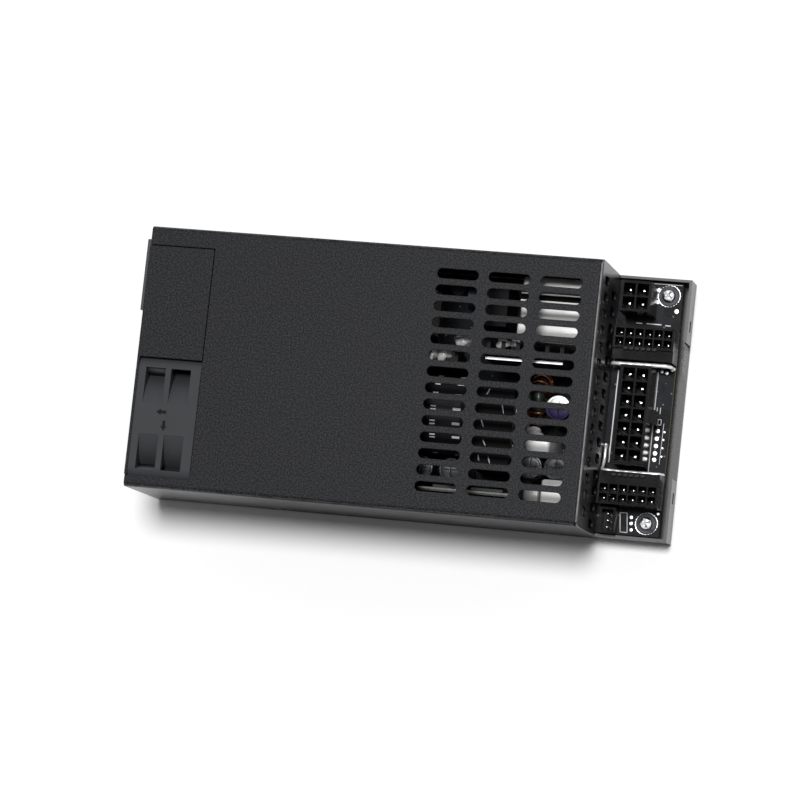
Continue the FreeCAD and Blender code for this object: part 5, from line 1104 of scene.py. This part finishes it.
@dataclass
class ShelfBoard:
    """Printed lines, jumper wires and solder joints on the output board.

    A line is given by its two ends and its width: rules round the headers, a slanting box,
    a small ladder and single strokes. A round pad is given by its middle and radius. A wire's
    end and a stroke of the earth pad have a middle, three lengths, and the seed of the
    solder's waves or a turn in degrees.
    """

    top: float = 7.6
    ink_height: float = 0.05
    ink_edge: float = 0.03
    lines: tuple[tuple[float, ...], ...] = (
        (63.35, 11.2, 63.15, -17.3, 0.36), (75.85, 12.0, 75.75, -19.3, 0.24),
        (62.9, -12.6, 63.1, -17.0, 0.14), (60.9, 30.3, 61.0, 25.8, 0.3), (67.5, 26.4, 69.1, 26.4, 0.34),
        (70.7, 26.45, 75.1, 26.4, 0.34), (76.6, 26.25, 78.0, 26.25, 0.34),
        (68.3, -32.7, 70.5, -32.7, 0.22), (68.9, -38.7, 71.1, -38.7, 0.22),
        (68.3, -32.7, 68.9, -38.7, 0.22), (70.5, -32.7, 71.1, -38.7, 0.22), (71.1, 39.1, 80.6, 39.1, 0.16),
        (79.1, -4.2, 78.9, -16.8, 0.16), (76.3, -3.0, 78.2, -3.0, 0.2), (76.3, -4.7, 78.2, -4.7, 0.2),
        (76.3, -3.0, 76.3, -4.7, 0.2), (77.2, -3.0, 77.2, -4.7, 0.16), (78.2, -3.0, 78.2, -4.7, 0.2),
        (76.6, -1.2, 76.6, 0.6, 0.22), (77.6, -1.2, 77.6, 0.6, 0.22), (68.8, -28.9, 69.9, -30.0, 0.3),
    )
    round_pads: tuple[Point, ...] = (
        (77.35, -6.6, 0.72), (77.3, -9.0, 0.72), (77.25, -11.3, 0.72), (77.2, -13.6, 0.72),
        (77.15, -15.6, 0.7), (71.9, -33.9, 0.55), (72.0, -35.8, 0.55), (72.2, -37.8, 0.5),
        (80.1, -32.1, 0.45), (79.5, 30.9, 0.75), (79.5, -6.8, 0.32), (79.4, -9.2, 0.32),
        (79.35, -11.8, 0.3), (79.3, -14.4, 0.3), (76.9, 11.9, 0.5), (78.4, 11.6, 0.55),
    )
    wire_ends: tuple[tuple[Point, Point, float], ...] = (
        ((80.1, 12.9, 7.95), (1.7, 1.7, 1.4), 1.3),
        ((61.9, 12.7, 7.9), (1.5, 1.5, 1.0), 2.1),
        ((61.7, -12.3, 7.8), (1.5, 1.5, 0.9), 0.4),
        ((80.3, -20.2, 7.9), (1.3, 1.4, 1.2), 0.9),
    )
    earth_strokes: tuple[tuple[Point, Point, float], ...] = (
        ((71.9, 35.3, 7.63), (1.0, 6.4, 0.16), 8.0),
        ((70.9, 38.2, 7.63), (2.0, 1.4, 0.2), 30.0),
        ((71.0, 32.1, 7.63), (2.3, 1.1, 0.2), -35.0),
        ((73.2, 33.5, 7.63), (1.4, 1.0, 0.18), -30.0),
        ((73.2, 37.1, 7.63), (1.4, 1.0, 0.18), 30.0),
    )
    stroke_edge: float = 0.075
    ring_edges: Spot = (3.24, 3.5)
    ring_waves: Spot = (0.12, 0.16)
    ring_rise: float = 0.015
    ring_height: float = 0.12
    sunk: float = 0.02
    straight_radius: float = 0.62
    straight_wire: tuple[Point, ...] = (
        (62.3, 12.7, 7.4), (62.3, 12.65, 11.5), (62.35, 12.6, 13.8), (63.1, 12.55, 14.5),
        (71.0, 12.65, 14.5), (79.2, 12.8, 14.5), (80.1, 12.8, 13.9), (80.25, 12.85, 12.0),
        (80.25, 12.9, 7.4),
    )
    bent_radius: float = 0.5
    bent_wire: tuple[Point, ...] = (
        (61.95, -12.4, 7.4), (61.95, -12.6, 8.3), (62.0, -13.4, 8.8), (62.05, -16.5, 8.9),
        (61.9, -19.0, 9.6), (61.9, -20.1, 11.2), (62.5, -20.42, 12.3), (64.0, -20.45, 12.5),
        (71.0, -20.45, 12.5), (79.0, -20.45, 12.4), (80.1, -20.4, 11.8), (80.4, -20.3, 10.2),
        (80.4, -20.25, 7.4),
    )

    def ring(self, middle: Spot) -> Shape:
        """Tinned ring round a screw, with a ragged outer edge.

        Across the ring, t runs from 0 inside to 1 outside and the height is h (1 - (2t - 1)^4).
        The outer radius is R + a sin(23 u) + b sin(2 u + 0.6) at the angle u.

        Args:
            middle: middle of the ring.

        Returns:
            The closed surface.
        """
        angle = full_turn(156)
        inner, outer = self.ring_edges
        tooth, bulge = self.ring_waves
        edge = outer + tooth * np.sin(23 * angle) + bulge * np.sin(2 * angle + 0.6)
        share = np.linspace(0.0, 1.0, 7)[:, None]
        radius = inner + (edge - inner) * share
        height = self.top + self.ring_rise + self.ring_height * (1.0 - (2.0 * share - 1.0) ** 4)
        upper = circled(middle, radius, angle, height)
        base = circled(middle, radius[[-1, 0]], angle, self.top - self.sunk)
        return grid_shape(np.concatenate([upper, base, upper[:1]]), ends=False)

    def line(self, x0: float, y0: float, x1: float, y1: float, width: float) -> Shape:
        """Printed line between two points.

        Args:
            x0: first end.
            y0: first end.
            x1: second end.
            y1: second end.
            width: width of the line.

        Returns:
            A thin rounded bar.
        """
        length = math.hypot(x1 - x0, y1 - y0) + width
        turn = math.degrees(math.atan2(y1 - y0, x1 - x0))
        middle = ((x0 + x1) / 2, (y0 + y1) / 2, self.top + (self.ink_height - self.sunk) / 2)
        return rounded_block(middle, (length, width, self.ink_height + self.sunk), self.ink_edge, turn, 2)

    def joint(self, x: float, y: float, radius: float) -> Shape:
        """Solder joint: r = R (1 - s^3) and h = 0.2 R s^0.8, with s from 0 at the foot to 1.

        Args:
            x: middle.
            y: middle.
            radius: foot's radius R.

        Returns:
            The closed surface.
        """
        steps = np.linspace(0.0, 1.0, 9)
        profile = [(0.0, -self.sunk)] + [(radius * (1.0 - s**3.0), 0.2 * radius * s**0.8) for s in steps]
        return turned(profile, (x, y, self.top), 20)

    def wire(self, corners: Sequence[Point], radius: float, smooth: int = 8) -> Shape:
        """Tinned wire through some corners.

        Three times, a quarter is cut off both ends of every run between two corners. The
        radius swells by r (1 + 0.05 sin(2.3 l)) with the length l along the wire.

        Args:
            corners: the corners.
            radius: wire radius.
            smooth: points to a corner after the cuts.

        Returns:
            The closed tube.
        """
        line = np.array(corners, float)
        for _ in range(3):
            first = line[:-1] * 0.75 + line[1:] * 0.25
            second = line[:-1] * 0.25 + line[1:] * 0.75
            cut = np.stack([first, second], axis=1).reshape(-1, 3)
            line = np.vstack([line[:1], cut, line[-1:]])
        length = np.concatenate([[0.0], np.cumsum(np.linalg.norm(np.diff(line, axis=0), axis=1))])
        places = np.linspace(0.0, length[-1], smooth * len(corners))
        even = np.stack([np.interp(places, length, line[:, axis]) for axis in range(3)], axis=-1)
        return swept(even, radius * (1.0 + 0.05 * np.sin(places * 2.3)), 14)

    def solder(self) -> list[Shape]:
        """Rings, joints, the lumps at the wires' ends and the strokes of the earth pad."""
        near, far = screw_places()
        shapes = [self.ring(far), self.ring(near)]
        shapes += [self.joint(*pad) for pad in self.round_pads]
        shapes += [blob(*end) for end in self.wire_ends]
        for middle, lengths, turn in self.earth_strokes:
            shapes.append(rounded_block(middle, lengths, self.stroke_edge, turn))
        return shapes

    def build(self, palette: Palette) -> None:
        """Make the printed lines, the solder and the wires."""
        ink = joined([self.line(*line) for line in self.lines])
        ink.piece("shelf_print", palette["ink"], "board_black")
        joined(self.solder()).piece("shelf_solder", palette["solder"], "pin_tin")
        straight = self.wire(self.straight_wire, self.straight_radius)
        bent = self.wire(self.bent_wire, self.bent_radius)
        (straight + bent).piece("shelf_jumpers", palette["jumper"], "pin_tin")


@dataclass
class ShelfScrews:
    """Two pan-head screws with cross recesses, on dark washers."""

    head: float = 2.15
    rise: float = 1.7
    turns: Spot = (18.0, -32.0)
    washer_top: float = 0.5
    slot: float = 0.36
    reach: float = 1.5
    depth: float = 1.2

    def top_height(self, radius: np.ndarray, angle: np.ndarray) -> np.ndarray:
        """Height of the head over its seat.

        It is the dome rise (1 - (r / R)^4)^(1/2), less a cross whose depth falls off with
        the distance from its arms and from the middle.

        Args:
            radius: distances from the axis.
            angle: angles.

        Returns:
            Heights in millimetres.
        """
        dome = self.rise * np.sqrt(np.clip(1.0 - (radius / self.head) ** 4, 0.0, 1.0))
        across = np.minimum(np.abs(radius * np.cos(angle)), np.abs(radius * np.sin(angle)))
        arm = np.clip(1.0 - across / self.slot, 0.0, 1.0) ** 0.35
        end = np.clip(1.0 - radius / self.reach, 0.0, 1.0) ** 0.45
        return dome - self.depth * arm * end

    def screw(self, middle: Spot, seat: float, turn: float) -> Shape:
        """Head of one screw.

        Args:
            middle: middle of the head.
            seat: height that it sits on.
            turn: angle of the cross, in degrees.

        Returns:
            The closed surface.
        """
        angle = full_turn(96)
        radius = self.head * np.linspace(0.0, 1.0, 30)[:, None] ** 0.85
        spun = angle + math.radians(turn)
        top = circled(middle, radius, spun, seat + self.top_height(radius, angle))
        under = circled(middle, np.array([[self.head], [0.0]]), spun, seat)
        return grid_shape(np.concatenate([top, under]), ends=False)

    def build(self, palette: Palette) -> None:
        """Stand both screws where the CAD ones are."""
        foot = extent("output_board_screws")[0][2]
        board = extent("output_board")[1][2]
        places = screw_places()
        rim, top = WASHER_RADIUS, self.washer_top
        disc = [(0.0, 0.0), (rim - 0.06, 0.0), (rim, 0.08), (rim, top - 0.08), (rim - 0.1, top), (0.0, top)]
        washers = joined([turned(disc, (*place, board), 48) for place in places])
        washers.piece("shelf_washers", palette["washer"], "screw_zinc", 30.0)
        shank = [(0.0, 0.0), (1.0, 0.0), (1.25, 0.3), (1.25, 4.6), (0.0, 4.6)]
        shapes = [self.screw(place, board + top, turn) for place, turn in zip(places, self.turns)]
        shapes += [turned(shank, (*place, foot), 20) for place in places]
        piece = joined(shapes).piece("shelf_pan_screws", palette["screw_zinc"], "screw_zinc", 30.0)
        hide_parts("output_board_screws")


@dataclass
class Circuit:
    """Parts that show through the vent slots.

    Blocks and lumps are given by their middle and three lengths, and creases by their ends.
    """

    can_radius: float = 3.8
    cans: tuple[Spot, ...] = ((50.5, -22.6), (42.6, -22.9), (18.0, -26.0), (8.8, -26.0))
    lid_inset: float = 0.78
    lid_drop: float = 0.24
    lid_rise: float = 0.12
    score_half: float = 0.22
    score_depth: float = 0.09
    score_reach: float = 0.86
    ink_over_middle: float = 0.2
    violet: Colour = (0.010, 0.004, 0.038)
    bare_metal: Colour = (0.74, 0.75, 0.76)
    lumps: tuple[tuple[Point, Point], ...] = (
        ((19.3, 12.9, 33.6), (5.4, 4.2, 4.2)),
        ((10.2, 8.2, 35.6), (3.4, 3.6, 3.2)),
        ((13.8, 8.4, 35.5), (4.4, 3.8, 3.4)),
        ((31.6, 13.4, 34.4), (4.2, 3.2, 3.0)),
        ((35.4, 13.8, 33.6), (3.0, 2.6, 2.2)),
        ((42.3, -12.3, 27.4), (6.4, 3.0, 2.6)),
    )
    crease_height: float = 32.85
    crease_radii: Spot = (0.02, 0.22)
    creases: tuple[tuple[Spot, Spot], ...] = (
        ((27.9, -2.6), (28.8, -0.7)), ((33.0, -5.1), (33.8, -8.1)), ((27.0, -10.2), (28.0, -12.6)),
        ((28.1, -16.2), (29.2, -18.3)), ((30.3, -21.2), (31.1, -23.6)), ((27.2, -21.0), (27.6, -23.0)),
    )
    white_films: tuple[tuple[Point, Point], ...] = (
        ((44.4, 18.4, 16.8), (20.6, 5.8, 22.4)),
        ((44.05, -15.75, 16.8), (7.8, 5.8, 22.4)),
        ((50.7, -30.4, 17.2), (7.8, 8.0, 23.2)),
    )
    grey_film: tuple[Point, Point] = ((43.45, -31.6, 15.8), (5.3, 6.0, 20.4))
    tape_blocks: tuple[tuple[Point, Point], ...] = (
        ((45.1, 24.1, 20.05), (19.6, 4.6, 22.3)),
        ((45.1, 32.9, 20.05), (19.6, 4.6, 22.3)),
        ((45.1, 28.5, 20.05), (15.0, 5.0, 22.3)),
        ((45.1, 27.3, 33.35), (19.2, 0.5, 0.3)),
        ((45.1, 29.5, 33.35), (19.2, 0.5, 0.3)),
    )
    white_edge: float = 0.9
    grey_edge: float = 0.8
    tape_edge: float = 1.1
    card_thickness: float = 1.2
    sawn_width: float = 0.75

    def can(self, middle: Spot, foot: float, top: float, radius: float) -> tuple[Shape, Shape]:
        """Can with a rolled groove and lip, and its sunken metal top.

        With s from 0 in the middle to 1 at the rim, the top's height over its own rim is its
        rise by (1 - s^6), less a score along two diameters.

        Args:
            middle: middle of the can.
            foot: height of the board.
            top: height of the lip.
            radius: sleeve radius.

        Returns:
            The sleeve and the top.
        """
        wall = [(0.0, foot), (radius - 0.3, foot), (radius, foot + 0.3), (radius, foot + 1.7)]
        groove = [(radius - 0.28, foot + 2.2), (radius, foot + 2.7), (radius, top - 0.5)]
        lip = [(radius - 0.12, top - 0.12), (radius - 0.45, top), (radius - 0.75, top - 0.06)]
        floor = [(radius - 0.8, top - 0.3), (0.0, top - 0.3)]
        sleeve = turned(wall + groove + lip + floor, (*middle, 0.0), 40)
        inner = radius - self.lid_inset
        share = np.linspace(0.0, 1.0, 14)[:, None]
        angle = full_turn(48)
        across = np.minimum(np.abs(np.cos(angle)), np.abs(np.sin(angle))) * share * inner
        score = self.score_depth * np.clip(1.0 - across / self.score_half, 0.0, 1.0)
        height = top - self.lid_drop + self.lid_rise * (1.0 - share**6) - score * (share < self.score_reach)
        lid = circled(middle, inner * share, angle, height)
        under = circled(middle, np.array([[inner], [0.0]]), angle, top - 0.4)
        return sleeve, grid_shape(np.concatenate([lid, under]), ends=False)

    def crease(self, start: Spot, end: Spot) -> Shape:
        """Raised fold between two points, with radius r0 + (r1 - r0) sin(pi t) along it.

        Args:
            start: first point.
            end: last point.

        Returns:
            The closed tube.
        """
        share = np.linspace(0.0, 1.0, 12)[:, None]
        first, last = (np.array([*spot, self.crease_height]) for spot in (start, end))
        thin, thick = self.crease_radii
        radius = thin + (thick - thin) * np.sin(math.pi * share[:, 0])
        return swept(first + (last - first) * share, radius, 8)

    def build_cans(self, palette: Palette) -> None:
        """Make the output cans and the half-printed one."""
        low, high = extent("output_capacitors")
        sleeves, lids = zip(*(self.can(place, low[2], high[2], self.can_radius) for place in self.cans))
        piece = joined(sleeves).piece("output_can_sleeves", palette["sleeve_black"], "sleeve_black")
        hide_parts("output_capacitors")
        joined(lids).piece("output_can_tops", palette["can_top"], "aluminium")
        low, high = extent("polymer_capacitor")
        x, y, _ = middle_of("polymer_capacitor")
        sleeve, lid = self.can((x, y), low[2], high[2], (high[0] - low[0]) / 2)
        finish = HalfPrint("polymer_top", self.violet, self.bare_metal, y + self.ink_over_middle)
        piece = (sleeve + lid).piece("polymer_can", finish.material(), "sleeve_violet")
        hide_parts("polymer_capacitor")

    def build_blocks(self, palette: Palette) -> None:
        """Make the film capacitors, the taped winding, silicone and creases."""
        films = joined([rounded_block(*film, self.white_edge) for film in self.white_films])
        piece = films.piece("film_boxes", palette["film_white"], "film_cream")
        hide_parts("output_film_capacitors")
        grey = rounded_block(*self.grey_film, self.grey_edge)
        grey.piece("grey_film_box", palette["film_grey"], "film_grey")
        edges = [min(self.tape_edge, *(length / 2 for length in block[1])) for block in self.tape_blocks]
        tape = joined([rounded_block(*block, edge) for block, edge in zip(self.tape_blocks, edges)])
        piece = tape.piece("taped_winding", palette["film_white"], "winding_tape")
        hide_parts("standby_transformer_winding")
        lumps = joined([blob(*lump, 0.7 * number, 0.5) for number, lump in enumerate(self.lumps)])
        lumps.piece("silicone", palette["silicone"], "winding_tape", 60.0)
        creases = joined([self.crease(*crease) for crease in self.creases])
        creases.piece("core_tape_creases", palette["ink"], "winding_tape")

    def dress(self, palette: Palette) -> None:
        """Give single nodes finishes that depend on where they are."""
        axis = middle_of("bulk_capacitor")[1:]
        sleeve = Sleeve("bulk_sleeve", (0.010, 0.010, 0.012), (0.85, 0.85, 0.84), axis)
        paint("bulk_capacitor", sleeve.material())
        low, high = extent("controller_card")
        paint("controller_card", CardFinish("card", low[1] + self.card_thickness, high[2]).material())
        low, high = extent("secondary_heatsink")
        band = (low[1], low[1] + self.sawn_width)
        paint("secondary_heatsink", CutPlate("cut_plate", high[2], band).material())
        paint("primary_heatsink", CutPlate("dark_plate", high[2]).material())
        for name in ("bus_bars", "main_board_screws"):
            paint(name, palette["washer"])
        low, high = extent("output_board")
        mask = SolderMask("shelf_mask", (0.003, 0.0034, 0.0045), (0.010, 0.011, 0.0145), high[2], low[2])
        paint("output_board", mask.material())

    def build(self, palette: Palette) -> None:
        """Make every piece of the circuit."""
        self.build_cans(palette)
        self.build_blocks(palette)
        self.dress(palette)


@dataclass
class PhotoCamera:
    """The photograph's camera: 4000 pixels of focal length on an 800 pixel square.

    It stands at its place and looks at its aim, both in metres, then rolls about that line.
    """

    place: Point = (0.276339, -0.138252, 1.220110)
    aim: Point = (-0.001850, -0.004956, 0.02)
    roll: float = -58.9478
    focal: float = 4000.0
    width: float = 800.0
    sensor: float = 36.0
    clip: Spot = (0.05, 20.0)

    def build(self) -> None:
        """Put the camera in place and make it the scene's."""
        data = bpy.data.cameras.new("photo_camera")
        data.sensor_width = self.sensor
        data.sensor_height = self.sensor
        data.sensor_fit = "HORIZONTAL"
        data.lens = self.sensor * self.focal / self.width
        data.clip_start, data.clip_end = self.clip
        camera = added("photo_camera", data)
        upright = (Vector(self.aim) - Vector(self.place)).to_track_quat("-Z", "Y").to_matrix()
        turn = upright @ Matrix.Rotation(math.radians(self.roll), 3, "Z")
        camera.matrix_world = Matrix.Translation(self.place) @ turn.to_4x4()
        bpy.context.scene.camera = camera


@dataclass
class Studio:
    """White table, a small bright source overhead, and walls that are lit on one side.

    The walls' limits are parts of a ray of length one: how far it points up, or towards +Y.
    """

    floor_size: float = 14.0
    floor_drop: float = 0.0002
    floor_points: int = 9
    sun_level: float = 0.89
    sun_width: float = 17.0
    sun_direction: Point = (0.06, 0.19, 0.98)
    wall_level: float = 0.58
    wall_top: Spot = (0.55, 0.85)
    wall_turn: Spot = (-0.75, 0.15)
    dim_share: float = 0.05
    ceiling_level: float = 0.03

    def floor(self) -> None:
        """White matt table."""
        half = self.floor_size / 2
        mesh = bpy.data.meshes.new("studio_floor")
        across, along = np.meshgrid(*[np.linspace(-half, half, self.floor_points)] * 2, indexing="ij")
        grid = np.stack([across, along, np.full_like(across, -self.floor_drop)], axis=-1)
        shape = grid_shape(grid, closed_across=False, ends=False)
        mesh.from_pydata(shape.points.tolist(), [], [face[::-1] for face in shape.faces])
        graph = Graph("studio_floor")
        paper = graph.noise(2.0, 2.0)
        base = graph.blend(paper, (0.97, 0.97, 0.97), (0.985, 0.985, 0.985))
        lit = graph.node("ShaderNodeBsdfDiffuse", {}, {"Color": base, "Roughness": 0.5})
        graph.node("ShaderNodeOutputMaterial", {}, {"Surface": lit.outputs[0]})
        mesh.materials.append(graph.material)
        floor = added("studio_floor", mesh)

    def world(self) -> None:
        """Bright walls up to half height on the +Y side, a dim wall opposite, a dark ceiling.

        To the camera, and in reflections and through glass, the background is plain white.
        """
        world = bpy.data.worlds.new("studio")
        graph = Graph("studio", world)
        ray = graph.node("ShaderNodeTexCoord").outputs["Generated"]
        _, y, z = (Value(graph, part) for part in graph.node("ShaderNodeSeparateXYZ", {}, {0: ray}).outputs)
        lit = self.dim_share + y.smooth(*self.wall_turn) * (1.0 - self.dim_share)
        wall = (1.0 - z.smooth(*self.wall_top)) * lit
        level = self.ceiling_level + wall * self.wall_level
        path = graph.node("ShaderNodeLightPath")
        for kind in ("Camera", "Glossy", "Transmission"):
            level = level.most(Value(graph, path.outputs[f"Is {kind} Ray"]))
        shown = graph.node("ShaderNodeBackground", {}, {"Color": (1.0, 1.0, 1.0), "Strength": level})
        graph.node("ShaderNodeOutputWorld", {}, {"Surface": shown.outputs[0]})
        bpy.context.scene.world = world

    def lamp(self) -> None:
        """Overhead source a little towards +Y, wide enough for a soft shadow."""
        data = bpy.data.lights.new("overhead", "SUN")
        data.energy = math.pi * self.sun_level
        data.angle = math.radians(self.sun_width)
        lamp = added("overhead", data)
        lamp.matrix_world = Vector(self.sun_direction).to_track_quat("Z", "Y").to_matrix().to_4x4()

    def build(self) -> None:
        """Set up the studio."""
        self.floor()
        self.world()
        self.lamp()
        bpy.context.scene.view_settings.view_transform = "Standard"


def main() -> None:
    """Build the scene in order: camera and studio, finishes, then the pieces."""
    logging.basicConfig(level=logging.INFO, format="%(name)s %(message)s")
    PhotoCamera().build()
    Studio().build()
    palette = Palette()
    palette.build()
    palette.dress()
    Fan().dress(palette)
    Headers().build(palette)
    ShelfBoard().build(palette)
    ShelfScrews().build(palette)
    Circuit().build(palette)


if __name__ == "__main__":
    main()
